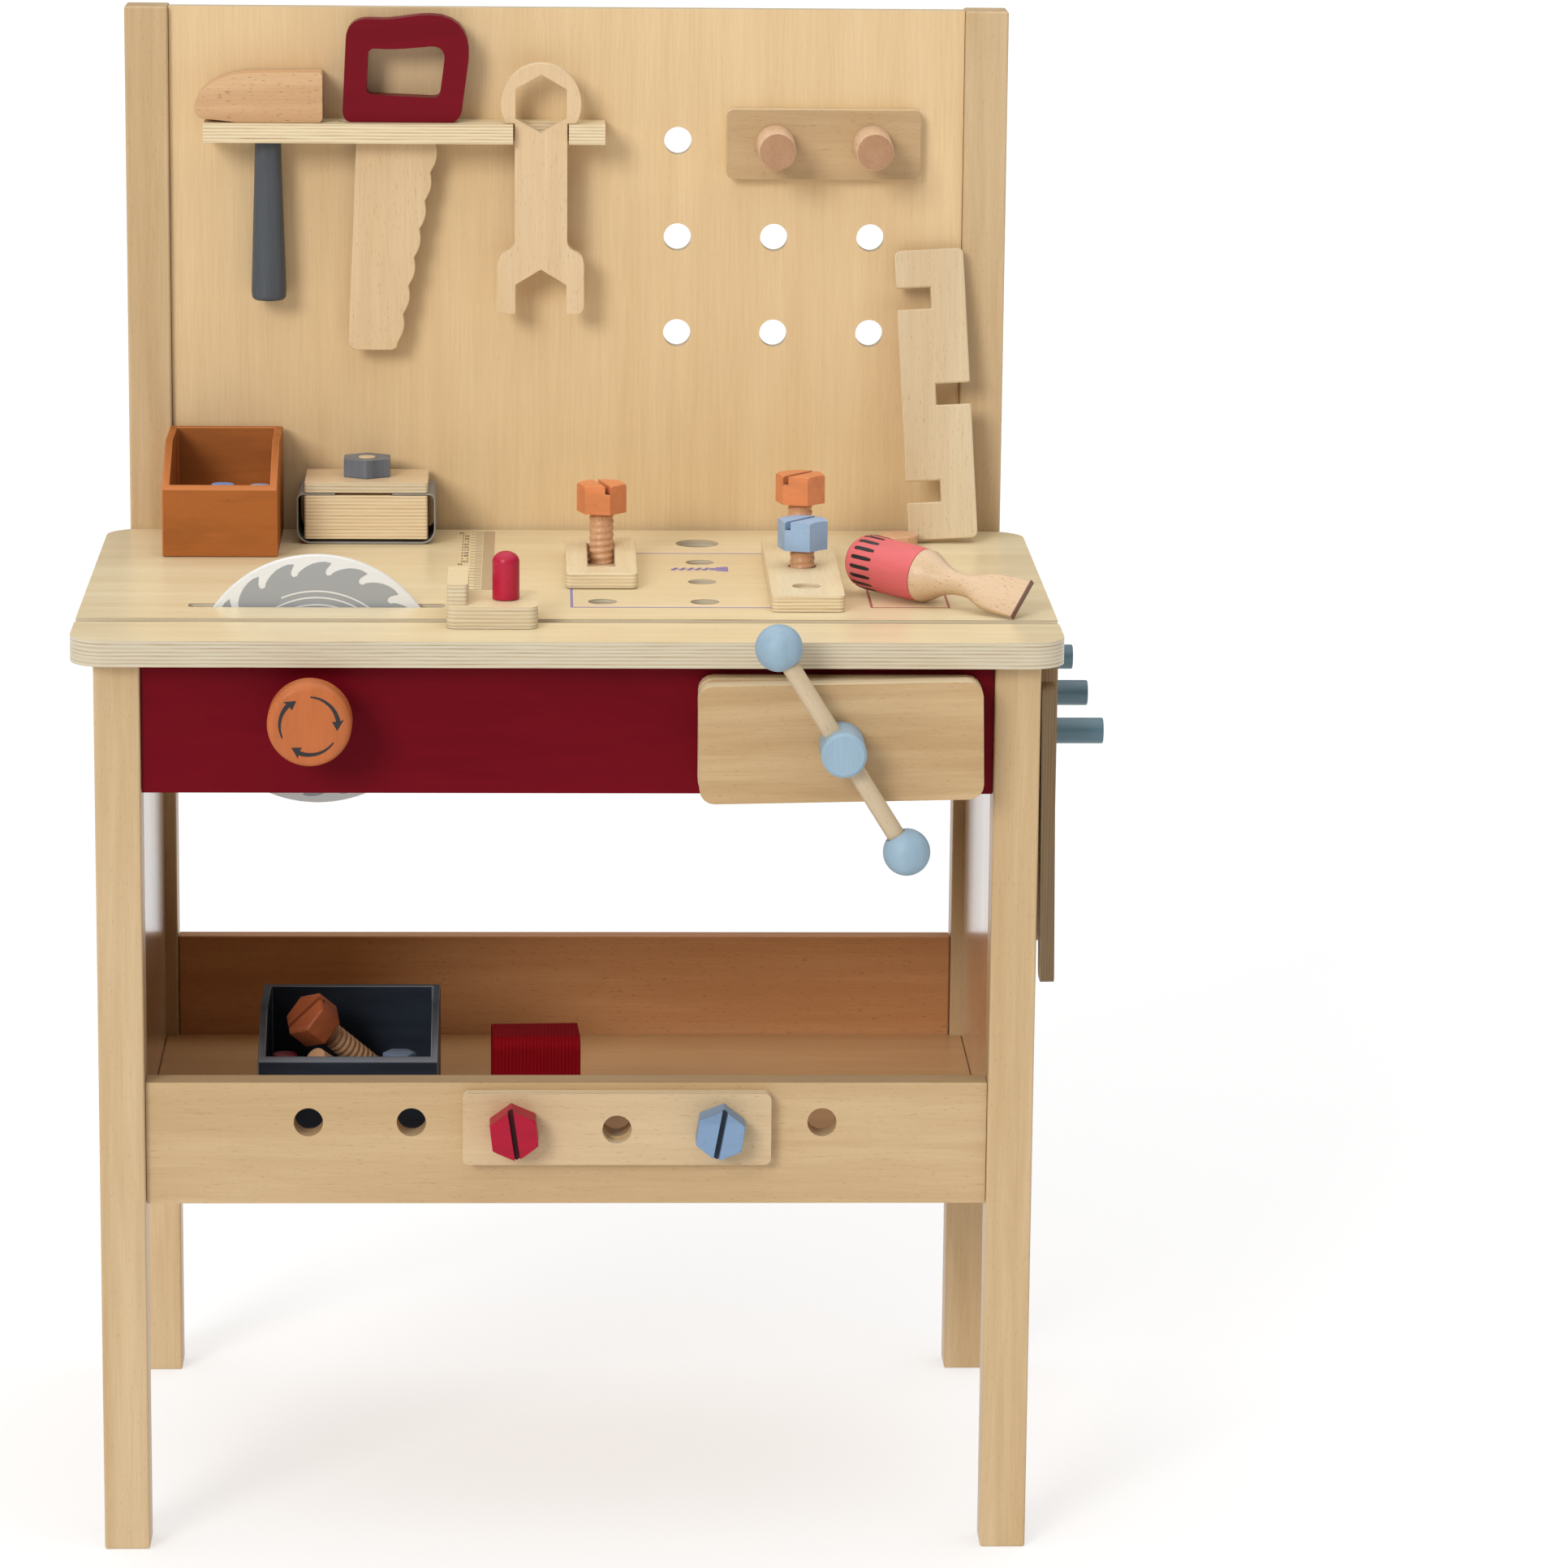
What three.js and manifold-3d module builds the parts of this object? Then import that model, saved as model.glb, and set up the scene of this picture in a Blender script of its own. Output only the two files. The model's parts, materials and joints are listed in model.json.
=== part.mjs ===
// A child's wooden tool bench: four legs, a worktop with a tabletop saw, a screw vise and a fence,
// a perforated back panel with a tool rack, a shelf below, and the loose tools, planks, bolts,
// pegs and boxes that belong to it. Every piece is a closed solid of its own.
//
// Millimetres. X runs to the right, Y to the back and Z up. While it is being built, X = 0 is the
// middle between the legs, Y = 0 the front face of the front legs and Z = 0 the floor. The last
// lines move the finished bench so that its origin is the bottom centre of its bounding box.
import * as THREE from 'three';
import { mergeVertices } from 'three/addons/utils/BufferGeometryUtils.js';
import Module from 'manifold-3d';

const wasm = await Module();
wasm.setup();

// ---------------------------------------------------------------- driving dimensions
const GAP = 0.3; // between pieces that touch
const LEG = 28; // legs and posts are square
const FRAME_HALF = 286; // from the middle to the outer face of a leg
const POST_FRONT = 361; // front face of the rear posts
const POST_TOP = 920;

const TOP_Z = 578; // worktop surface
const TOP_THICK = 16;
const TOP_HALF = 300;
const TOP_FRONT = -15;
const TOP_CORNER = 22;

const PITCH = 63; // spacing of the holes along a row, and of the panel's rows
const ROW_PITCH = 66.5; // spacing of the worktop's rows from front to back
const HOLE_R = 9; // holes in the worktop, panel, rail and planks
const SHANK_R = 7.75; // pegs that drop into those holes
const GRID_X = [21.5, 85, 148]; // columns of worktop holes
const GRID_Y = [113.5, 180, 246.5, 313]; // rows of worktop holes
const BENCH_PEG = [215.5, 303]; // hole with the short peg
const PANEL_X = [72, 135, 198]; // columns of holes in the back panel
const PANEL_Z = [834.5, 771.5, 708.5]; // rows of holes in the back panel
const RAIL_Z = 273.6; // row of holes in the front shelf rail
const RAIL_FIRST_X = -158.5;

const PANEL_FRONT = 366;
const PANEL_THICK = 10;
const RAIL_BOTTOM = 222;
const RAIL_TOP = 298.8;
const BACK_RAIL_TOP = 301.8;
const SHELF_TOP = 234.3;
const APRON_FRONT = 4;
const APRON_BACK = 18;
const APRON_BOTTOM = 480.8;

const PLANK_WIDTH = 45;
const PLANK_THICK = 10;

const GROOVE_FRONT = 45; // groove across the worktop for the fence
const GROOVE_BACK = 57;
const GROOVE_DEPTH = 6;

const SAW_X = -154.8;
const SAW_Z = 532;
const SAW_R = 78;
const SAW_FRONT = 95.5;
const SAW_THICK = 6;

const VISE_X = 164;
const VISE_Z = 519;
const JAW_WIDTH = 171.5;
const JAW_HEIGHT = 72.4;
const JAW_THICK = 15.7;
const JAW_TILT = -1.2; // degrees of play of the moving jaw on its screw
const HANDLE_TILT = 32; // degrees the handle leans from upright
const HANDLE_SPAN = 147; // between the centres of the two balls

const RACK_TOP = 848;
const RACK_THICK = 12.4;
const RACK_FRONT = 331;

const degrees = (angle) => angle * Math.PI / 180;
const undersideZ = TOP_Z - TOP_THICK;
const innerHalf = FRAME_HALF - LEG;
const fitHalf = innerHalf - GAP; // half length of what fits between the legs
const onTop = TOP_Z + GAP; // what stands on the worktop

// ---------------------------------------------------------------- materials
const finish = (color, roughness) => new THREE.MeshStandardMaterial({ color, roughness, metalness: 0 });
const PLY = finish(0xdcc29a, 0.5);
const BEECH = finish(0xcfa57c, 0.5);
const PALE = finish(0xe3cfae, 0.5);
const BURGUNDY = finish(0x6e121f, 0.4);
const ORANGE = finish(0xc8733f, 0.45);
const BLUE = finish(0x9fbbdc, 0.45);
const MAGENTA = finish(0xc01f45, 0.4);
const WHITE = finish(0xe9e6e0, 0.5);
const SLATE = finish(0x4b5560, 0.5);
const TEAL = finish(0x54707a, 0.45);
const TERRACOTTA = finish(0xa8673a, 0.55);
const CORAL = finish(0xe86a68, 0.4);
const ABRASIVE_GREY = finish(0x8c8377, 0.9);
const ABRASIVE_RED = finish(0x8a0413, 0.9);

// ---------------------------------------------------------------- geometry helpers
function toSolid(geometry) {
  const bare = geometry.clone();
  bare.deleteAttribute('normal');
  bare.deleteAttribute('uv');
  const merged = mergeVertices(bare, 1e-4);
  const vertProperties = new Float32Array(merged.attributes.position.array);
  const triVerts = new Uint32Array(merged.index.array);
  return new wasm.Manifold(new wasm.Mesh({ numProp: 3, vertProperties, triVerts }));
}

function toGeometry(solid) {
  const mesh = solid.getMesh();
  const geometry = new THREE.BufferGeometry();
  geometry.setAttribute('position', new THREE.BufferAttribute(mesh.vertProperties, 3));
  geometry.setIndex(new THREE.BufferAttribute(mesh.triVerts, 1));
  const flat = geometry.toNonIndexed();
  flat.computeVertexNormals();
  return flat;
}

const cut = (base, ...tools) =>
  toGeometry(tools.reduce((rest, tool) => rest.subtract(toSolid(tool)), toSolid(base)));
const join = (base, ...others) =>
  toGeometry(others.reduce((whole, other) => whole.add(toSolid(other)), toSolid(base)));
const common = (a, b) => toGeometry(toSolid(a).intersect(toSolid(b)));

// A box between two corners.
function box(x0, x1, y0, y1, z0, z1) {
  const geometry = new THREE.BoxGeometry(x1 - x0, y1 - y0, z1 - z0);
  return geometry.translate((x0 + x1) / 2, (y0 + y1) / 2, (z0 + z1) / 2);
}

// Extrusions of an outline. plate: drawn in X and Y, raised from z. panel: drawn in X and Z,
// running back from y. profile: drawn in Y and Z, running right from x.
function extrude(outline, depth, segments) {
  return new THREE.ExtrudeGeometry(outline, { depth, bevelEnabled: false, curveSegments: segments });
}
function plate(outline, z, depth, segments = 6) {
  return extrude(outline, depth, segments).translate(0, 0, z);
}
function panel(outline, y, depth, segments = 6) {
  return extrude(outline, depth, segments).rotateX(Math.PI / 2).translate(0, y + depth, 0);
}
function profile(outline, x, depth, segments = 6) {
  const turn = new THREE.Matrix4().set(0, 0, 1, 0, 1, 0, 0, 0, 0, 1, 0, 0, 0, 0, 0, 1);
  return extrude(outline, depth, segments).applyMatrix4(turn).translate(x, 0, 0);
}

// Points along an arc, in equal steps.
function arc(x, y, radius, from, to, steps) {
  const points = [];
  for (let k = 0; k <= steps; k += 1) {
    const angle = from + (to - from) * k / steps;
    points.push(new THREE.Vector2(x + radius * Math.cos(angle), y + radius * Math.sin(angle)));
  }
  return points;
}

function circle(x, y, radius, steps = 28) {
  return new THREE.Shape(arc(x, y, radius, 0, 2 * Math.PI, steps).slice(1));
}

// A rectangle with round corners, with any holes given as [x, y, radius].
function roundRect(x0, x1, y0, y1, r, holes = [], steps = 4) {
  const outline = new THREE.Shape([
    ...arc(x1 - r, y1 - r, r, 0, Math.PI / 2, steps),
    ...arc(x0 + r, y1 - r, r, Math.PI / 2, Math.PI, steps),
    ...arc(x0 + r, y0 + r, r, Math.PI, 1.5 * Math.PI, steps),
    ...arc(x1 - r, y0 + r, r, 1.5 * Math.PI, 2 * Math.PI, steps),
  ]);
  outline.holes = holes.map(([x, y, radius]) => circle(x, y, radius));
  return outline;
}

function polygon(points) {
  return new THREE.Shape(points.map(([x, y]) => new THREE.Vector2(x, y)));
}

function hexagon(x, y, corner, turn, hole = 0) {
  const points = [];
  for (let k = 0; k < 6; k += 1) {
    const angle = turn + k * Math.PI / 3;
    points.push([x + corner * Math.cos(angle), y + corner * Math.sin(angle)]);
  }
  const outline = polygon(points);
  if (hole > 0) outline.holes = [circle(x, y, hole)];
  return outline;
}

// A turned piece: [radius, height] points from the axis round to the axis, along +Z.
function turned(points, segments = 32) {
  const curve = points.map(([radius, height]) => new THREE.Vector2(radius, height));
  return new THREE.LatheGeometry(curve, segments).rotateX(Math.PI / 2);
}

// A plain round bar along +Z.
function bar(radius, z0, z1, segments = 28) {
  return turned([[0, z0], [radius, z0], [radius, z1], [0, z1]], segments);
}

// The same bar along Y, from y0 back to y1, and along X.
const barY = (radius, y0, y1, segments) => bar(radius, -y1, -y0, segments).rotateX(Math.PI / 2);
const barX = (radius, x0, x1, segments) => bar(radius, x0, x1, segments).rotateY(Math.PI / 2);

const bench = new THREE.Group();

function place(name, geometry, material, x = 0, y = 0, z = 0, parent = bench) {
  const mesh = new THREE.Mesh(geometry, material);
  mesh.name = name;
  mesh.position.set(x, y, z);
  parent.add(mesh);
  return mesh;
}

// ---------------------------------------------------------------- legs, posts and side panels
const PANEL_INSET = 8; // from a leg's inner face out to the side panel
const SIDE_THICK = 12;
const HANG_PIN_R = 3;
const HANG_PIN_Y = 14;
const HANG_PIN_Z = 537;
const HANG_PIN_DEPTH = 12; // how far the pin is let into the leg

function makeFrame() {
  const leg = box(0, LEG, 0, LEG, 0, undersideZ - GAP);
  const pinHole = barX(HANG_PIN_R + GAP, LEG - HANG_PIN_DEPTH, LEG + 1, 16);
  pinHole.translate(0, HANG_PIN_Y, HANG_PIN_Z);
  place('leg_front_left', leg, PLY, -FRAME_HALF, 0, 0);
  place('leg_front_right', cut(leg, pinHole), PLY, innerHalf, 0, 0);

  const post = box(0, LEG, 0, LEG, 0, POST_TOP);
  place('post_rear_left', post, PLY, -FRAME_HALF, POST_FRONT, 0);
  place('post_rear_right', post, PLY, innerHalf, POST_FRONT, 0);

  const side = box(0, SIDE_THICK, LEG + GAP, POST_FRONT - GAP, RAIL_BOTTOM, undersideZ - GAP);
  place('side_panel_left', side, PLY, -innerHalf - PANEL_INSET - SIDE_THICK, 0, 0);
  place('side_panel_right', side, PLY, innerHalf + PANEL_INSET, 0, 0);
}

// ---------------------------------------------------------------- back panel and tool rack
const PANEL_BOTTOM = 500;
const WRENCH_X = -17;
const HAMMER_X = -193.5;
const HAMMER_Y = 350.5;
const HAMMER_HOLE_R = 12;
const RACK_LEFT = -234.3;
const RACK_RIGHT = 24.5;
const SAW_SLOT = [-147, -77, 345.5, 354.5]; // slot for the handsaw: left, right, front, back
const WRENCH_NOTCH_HALF = 18;
const WRENCH_NOTCH_BACK = 352;

function makeBackPanel() {
  const outline = polygon([
    [-fitHalf, PANEL_BOTTOM], [fitHalf, PANEL_BOTTOM], [fitHalf, POST_TOP], [-fitHalf, POST_TOP],
  ]);
  for (const x of PANEL_X) {
    for (const z of PANEL_Z) outline.holes.push(circle(x, z, HOLE_R));
  }
  place('back_panel', panel(outline, PANEL_FRONT, PANEL_THICK), PLY);
}

function makeToolRack() {
  const back = PANEL_FRONT - GAP;
  const outline = polygon([
    [RACK_LEFT, RACK_FRONT],
    [WRENCH_X - WRENCH_NOTCH_HALF, RACK_FRONT],
    [WRENCH_X - WRENCH_NOTCH_HALF, WRENCH_NOTCH_BACK],
    [WRENCH_X + WRENCH_NOTCH_HALF, WRENCH_NOTCH_BACK],
    [WRENCH_X + WRENCH_NOTCH_HALF, RACK_FRONT],
    [RACK_RIGHT, RACK_FRONT],
    [RACK_RIGHT, back],
    [RACK_LEFT, back],
  ]);
  outline.holes.push(circle(HAMMER_X, HAMMER_Y, HAMMER_HOLE_R));
  const [left, right, front, rear] = SAW_SLOT;
  outline.holes.push(polygon([[left, front], [left, rear], [right, rear], [right, front]]));
  place('tool_rack', plate(outline, RACK_TOP - RACK_THICK, RACK_THICK), PLY);
}

// ---------------------------------------------------------------- worktop
const BIG_HOLE_R = 14;
const SLOT_HALF = 79; // half length of the saw slot
const SLOT_FRONT = 92.5;
const SLOT_BACK = 104.5;

function makeWorktop() {
  const outline = roundRect(-TOP_HALF, TOP_HALF, TOP_FRONT, POST_FRONT - GAP, TOP_CORNER, [], 8);
  for (const x of GRID_X) {
    for (const y of GRID_Y.slice(0, 3)) outline.holes.push(circle(x, y, HOLE_R));
  }
  outline.holes.push(circle(GRID_X[1], GRID_Y[3], BIG_HOLE_R));
  outline.holes.push(circle(...BENCH_PEG, HOLE_R));
  outline.holes.push(roundRect(SAW_X - SLOT_HALF, SAW_X + SLOT_HALF, SLOT_FRONT, SLOT_BACK, 3));
  const slab = plate(outline, undersideZ, TOP_THICK);
  const reach = TOP_HALF + 10;
  const groove = box(-reach, reach, GROOVE_FRONT, GROOVE_BACK, TOP_Z - GROOVE_DEPTH, TOP_Z + 5);
  place('worktop', cut(slab, groove), PLY);
}

// ---------------------------------------------------------------- apron, rails and shelf
const AXLE_R = 8;
const SCREW_R = 9;
const RAIL_FRONT = 5;
const RAIL_THICK = 18;
const BACK_RAIL_FRONT = 364;
const BACK_RAIL_THICK = 13;
const SHELF_THICK = 10;

function makeApron() {
  const outline = polygon([
    [-fitHalf, APRON_BOTTOM], [fitHalf, APRON_BOTTOM],
    [fitHalf, undersideZ - GAP], [-fitHalf, undersideZ - GAP],
  ]);
  outline.holes.push(circle(SAW_X, SAW_Z, AXLE_R + 0.6));
  outline.holes.push(circle(VISE_X, VISE_Z, SCREW_R + 0.6));
  place('apron_front', panel(outline, APRON_FRONT, APRON_BACK - APRON_FRONT), BURGUNDY);
}

function makeShelf() {
  const front = polygon([
    [-fitHalf, RAIL_BOTTOM], [fitHalf, RAIL_BOTTOM], [fitHalf, RAIL_TOP], [-fitHalf, RAIL_TOP],
  ]);
  for (let k = 0; k < 6; k += 1) {
    front.holes.push(circle(RAIL_FIRST_X + k * PITCH, RAIL_Z, HOLE_R));
  }
  place('shelf_front_rail', panel(front, RAIL_FRONT, RAIL_THICK), PLY);
  const rearBack = BACK_RAIL_FRONT + BACK_RAIL_THICK;
  const rear = box(-fitHalf, fitHalf, BACK_RAIL_FRONT, rearBack, RAIL_BOTTOM, BACK_RAIL_TOP);
  place('shelf_back_rail', rear, PLY);

  // The board reaches the side panels between the legs and is notched round the legs.
  const wide = innerHalf + PANEL_INSET - GAP;
  const frontEdge = RAIL_FRONT + RAIL_THICK + GAP;
  const backEdge = BACK_RAIL_FRONT - GAP;
  const behindLeg = LEG + GAP;
  const beforePost = POST_FRONT - GAP;
  const board = polygon([
    [-fitHalf, frontEdge], [fitHalf, frontEdge], [fitHalf, behindLeg], [wide, behindLeg],
    [wide, beforePost], [fitHalf, beforePost], [fitHalf, backEdge], [-fitHalf, backEdge],
    [-fitHalf, beforePost], [-wide, beforePost], [-wide, behindLeg], [-fitHalf, behindLeg],
  ]);
  place('shelf_board', plate(board, SHELF_TOP - SHELF_THICK, SHELF_THICK), PLY);
}

// ---------------------------------------------------------------- peg board on the right side
const PEG_BOARD_LEFT = FRAME_HALF + GAP;
const PEG_BOARD_RIGHT = 299.5;
const PEG_BOARD_FRONT = 43;
const PEG_BOARD_BACK = 345;
const PEG_BOARD_BOTTOM = 378;
const SIDE_PEG_R = 8;
const SIDE_PEG_Z = 504.5;
const SIDE_PEG_END = 331;
const SIDE_PEGS = [['side_peg_front', 78], ['side_peg_middle', 193], ['side_peg_rear', 308]];

function makePegBoard() {
  const outline = roundRect(PEG_BOARD_FRONT, PEG_BOARD_BACK, PEG_BOARD_BOTTOM, undersideZ - GAP, 6);
  for (const [, y] of SIDE_PEGS) outline.holes.push(circle(y, SIDE_PEG_Z, SIDE_PEG_R + GAP));
  const thick = PEG_BOARD_RIGHT - PEG_BOARD_LEFT;
  place('peg_board', profile(outline, PEG_BOARD_LEFT, thick), PLY);
  const edge = 1; // rounding of the outer end
  const length = SIDE_PEG_END - PEG_BOARD_LEFT;
  const peg = turned([
    [0, 0], [SIDE_PEG_R, 0], [SIDE_PEG_R, length - edge], [SIDE_PEG_R - edge, length], [0, length],
  ], 28).rotateY(Math.PI / 2);
  for (const [name, y] of SIDE_PEGS) place(name, peg, TEAL, PEG_BOARD_LEFT, y, SIDE_PEG_Z);
}

// A measuring bar that hangs on a pin beside the right front leg.
function makeGaugeBar() {
  const halfWidth = 11;
  const below = 175;
  const above = 10.3;
  const thick = 8.4;
  const outline = roundRect(-halfWidth, halfWidth, -below, above, 5, [[0, 0, HANG_PIN_R + 0.5]]);
  const hung = place('gauge_bar', profile(outline, 0, thick), PLY);
  hung.position.set(FRAME_HALF + 0.8, HANG_PIN_Y, HANG_PIN_Z);
  hung.rotation.y = degrees(-0.8);
  const pin = barX(HANG_PIN_R, LEG - HANG_PIN_DEPTH + GAP, LEG + 9.2, 16);
  place('hang_pin', pin, BEECH, innerHalf, HANG_PIN_Y, HANG_PIN_Z);
}

// ---------------------------------------------------------------- tabletop saw
const KNOB_R = 25.4;
const KNOB_FRONT = -42; // the knob stands out past the worktop's front edge
const KNOB_BACK = -21;
const BEARING = [106, 122]; // front and back of the block that carries the axle

function makeSaw() {
  const disc = circle(SAW_X, SAW_Z, SAW_R, 72);
  disc.holes.push(circle(SAW_X, SAW_Z, AXLE_R + GAP));
  place('saw_disc', panel(disc, SAW_FRONT, SAW_THICK), WHITE);

  const axle = barY(AXLE_R, KNOB_BACK + GAP, BEARING[1] + 3);
  place('saw_axle', axle, BEECH, SAW_X, 0, SAW_Z);

  const deep = KNOB_BACK - KNOB_FRONT;
  const round = 4.5;
  const rim = [];
  for (let k = 0; k <= 4; k += 1) {
    const angle = k * Math.PI / 8;
    rim.push([KNOB_R - round + round * Math.cos(angle), deep - round + round * Math.sin(angle)]);
  }
  const knob = turned([[0, 0], [KNOB_R - 1.5, 0], [KNOB_R, 1.5], ...rim, [0, deep]], 48);
  place('saw_knob', knob.rotateX(Math.PI / 2), ORANGE, SAW_X, KNOB_BACK, SAW_Z);

  const half = 25;
  const block = polygon([
    [SAW_X - half, SAW_Z - 20], [SAW_X + half, SAW_Z - 20],
    [SAW_X + half, undersideZ - GAP], [SAW_X - half, undersideZ - GAP],
  ]);
  block.holes.push(circle(SAW_X, SAW_Z, AXLE_R + 0.6));
  place('saw_bearing_block', panel(block, BEARING[0], BEARING[1] - BEARING[0]), BEECH);
}

// ---------------------------------------------------------------- vise
const JAW_CORNER = 9;
const FIXED_JAW_BACK = APRON_FRONT - GAP;
const MOVING_JAW_BACK = FIXED_JAW_BACK - JAW_THICK - GAP;
const HUB_R = 13.6;
const HUB_BACK = MOVING_JAW_BACK - JAW_THICK - GAP;
const HUB_LENGTH = 35.5;
const ROD_R = 5.5;
const ROD_Y = HUB_BACK - HUB_LENGTH / 2 - 1.5;
const BALL_R = 14.3;
const BALL_SOCKET = 8; // depth of the rod's hole in a ball, past its centre side

function makeVise() {
  const jawOutline = roundRect(
    -JAW_WIDTH / 2, JAW_WIDTH / 2, -JAW_HEIGHT / 2, JAW_HEIGHT / 2, JAW_CORNER,
    [[0, 0, SCREW_R + 0.6]],
  );
  const jaw = panel(jawOutline, 0, JAW_THICK);
  place('vise_fixed_jaw', jaw, PLY, VISE_X, FIXED_JAW_BACK - JAW_THICK, VISE_Z);
  const moving = place('vise_moving_jaw', jaw, PLY, VISE_X, MOVING_JAW_BACK - JAW_THICK, VISE_Z);
  moving.rotation.y = degrees(JAW_TILT);

  const screw = barY(SCREW_R, HUB_BACK + GAP, 70);
  place('vise_screw', screw, BEECH, VISE_X, 0, VISE_Z);

  const rodTurn = new THREE.Matrix4().makeRotationY(degrees(-HANDLE_TILT));
  const bevel = 1.6;
  const hub = turned([
    [0, 0], [HUB_R, 0], [HUB_R, HUB_LENGTH - bevel], [HUB_R - bevel, HUB_LENGTH], [0, HUB_LENGTH],
  ], 36).rotateX(Math.PI / 2).translate(0, HUB_BACK, 0);
  const through = bar(ROD_R + GAP, -HUB_R - 5, HUB_R + 5, 24).applyMatrix4(rodTurn);
  through.translate(0, ROD_Y, 0);
  place('vise_hub', cut(hub, through), BLUE, VISE_X, 0, VISE_Z);

  // The rod and its balls stand along +Z in a group that leans with the handle.
  const handle = new THREE.Group();
  handle.position.set(VISE_X, ROD_Y, VISE_Z);
  handle.rotation.y = degrees(-HANDLE_TILT);
  bench.add(handle);
  const reach = HANDLE_SPAN / 2;
  const socket = BALL_R - BALL_SOCKET;
  const rodEnd = reach - socket - GAP;
  place('vise_handle_rod', bar(ROD_R, -rodEnd, rodEnd, 24), PALE, 0, 0, 0, handle);
  const ball = new THREE.SphereGeometry(BALL_R, 24, 16).rotateX(Math.PI / 2);
  const hole = bar(ROD_R + GAP, -BALL_R - 2, -socket, 24);
  const drilled = cut(ball, hole);
  place('vise_ball_upper', drilled, BLUE, 0, 0, reach, handle);
  const lower = place('vise_ball_lower', drilled, BLUE, 0, 0, -reach, handle);
  lower.rotation.x = Math.PI;
}

// ---------------------------------------------------------------- fence
const FENCE_X0 = -74;
const FENCE_SIZE = 55.6;
const FENCE_Y0 = 24;
const FENCE_TOP = TOP_Z + 13.6;
const FENCE_BAR_WIDTH = 13;
const FENCE_BAR_LENGTH = 68;
const FENCE_BAR_TOP = FENCE_TOP + 12.5;
const FENCE_KNOB_R = 8.3;

function makeFence() {
  const base = plate(
    roundRect(FENCE_X0, FENCE_X0 + FENCE_SIZE, FENCE_Y0, FENCE_Y0 + FENCE_SIZE, 6),
    onTop, FENCE_TOP - onTop,
  );
  const side = plate(
    roundRect(
      FENCE_X0 + 0.4, FENCE_X0 + FENCE_BAR_WIDTH, FENCE_Y0 + 6, FENCE_Y0 + FENCE_BAR_LENGTH, 3,
    ),
    FENCE_TOP - 2, FENCE_BAR_TOP - FENCE_TOP + 2,
  );
  const key = box(
    FENCE_X0 + 4, FENCE_X0 + FENCE_SIZE - 4, GROOVE_FRONT + GAP, GROOVE_BACK - GAP,
    TOP_Z - GROOVE_DEPTH + GAP, onTop + 2,
  );
  place('fence_base', join(base, side, key), PLY);

  const height = 29.5;
  const dome = [];
  for (let k = 0; k < 5; k += 1) {
    const angle = k * Math.PI / 10;
    dome.push([FENCE_KNOB_R * Math.cos(angle), height - FENCE_KNOB_R * (1 - Math.sin(angle)) * 0.8]);
  }
  const knob = turned([[0, 0], [FENCE_KNOB_R, 0], ...dome, [0, height]], 28);
  place('fence_knob', knob, MAGENTA, FENCE_X0 + 36, FENCE_Y0 + 27, FENCE_TOP + GAP);
}

// ---------------------------------------------------------------- storage boxes
const BIN_DEPTH = 101;
const BIN_FRONT = 43.6; // height of the front wall
const BIN_REAR = 68.4; // height of the rear wall
const BIN_RAMP = 46; // run of the sloping part of a side wall
const BIN_WALL = 5;

function makeBin(name, material, width, x, y, z) {
  const side = polygon([
    [0, 0], [BIN_DEPTH, 0], [BIN_DEPTH, BIN_REAR], [BIN_RAMP, BIN_REAR], [0, BIN_FRONT],
  ]);
  const inside = box(
    BIN_WALL, width - BIN_WALL, BIN_WALL, BIN_DEPTH - BIN_WALL, BIN_WALL, BIN_REAR + 5,
  );
  place(name, cut(profile(side, 0, width), inside), material, x, y, z);
}

function makeBoxes() {
  makeBin('terracotta_box', TERRACOTTA, 73.8, -259.2, 259.4, onTop);
  makeBin('slate_box', SLATE, 114, -195, 130, SHELF_TOP + GAP);
}

// ---------------------------------------------------------------- sanding block
const SAND_X = [-170, -90];
const SAND_Y = [307, 361];
const BAND_THICK = 1;
const BAND_BULGE = 4; // how far the band stands off the block's sides
const SAND_TOP = 610;
const CLAMP_TOP = 618.3;
const STUD_X = -130;
const STUD_Y = 338;
const STUD_R = 5.6;
const STUD_TOP = 630.6;
const NUT_CORNER = 17.3;

// A rectangle whose bottom corners have one radius and whose top corners have another.
function bandOutline(x0, x1, z0, z1, low, high, steps = 6) {
  return new THREE.Shape([
    ...arc(x1 - high, z1 - high, high, 0, Math.PI / 2, steps),
    ...arc(x0 + high, z1 - high, high, Math.PI / 2, Math.PI, steps),
    ...arc(x0 + low, z0 + low, low, Math.PI, 1.5 * Math.PI, steps),
    ...arc(x1 - low, z0 + low, low, 1.5 * Math.PI, 2 * Math.PI, steps),
  ]);
}

// A band of abrasive bent round a rectangle and open along part of its top.
function abrasiveBand(x0, x1, z0, z1, low, high, openFrom, openTo) {
  const inner = [x0 + BAND_THICK, x1 - BAND_THICK, z0 + BAND_THICK, z1 - BAND_THICK];
  const depth = SAND_Y[1] - SAND_Y[0];
  const hollow = panel(bandOutline(...inner, low - BAND_THICK, high - BAND_THICK), -1, depth + 2);
  const opening = box(openFrom, openTo, -1, depth + 1, z1 - 2 * BAND_THICK, z1 + 1);
  return cut(panel(bandOutline(x0, x1, z0, z1, low, high), 0, depth), hollow, opening);
}

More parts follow.
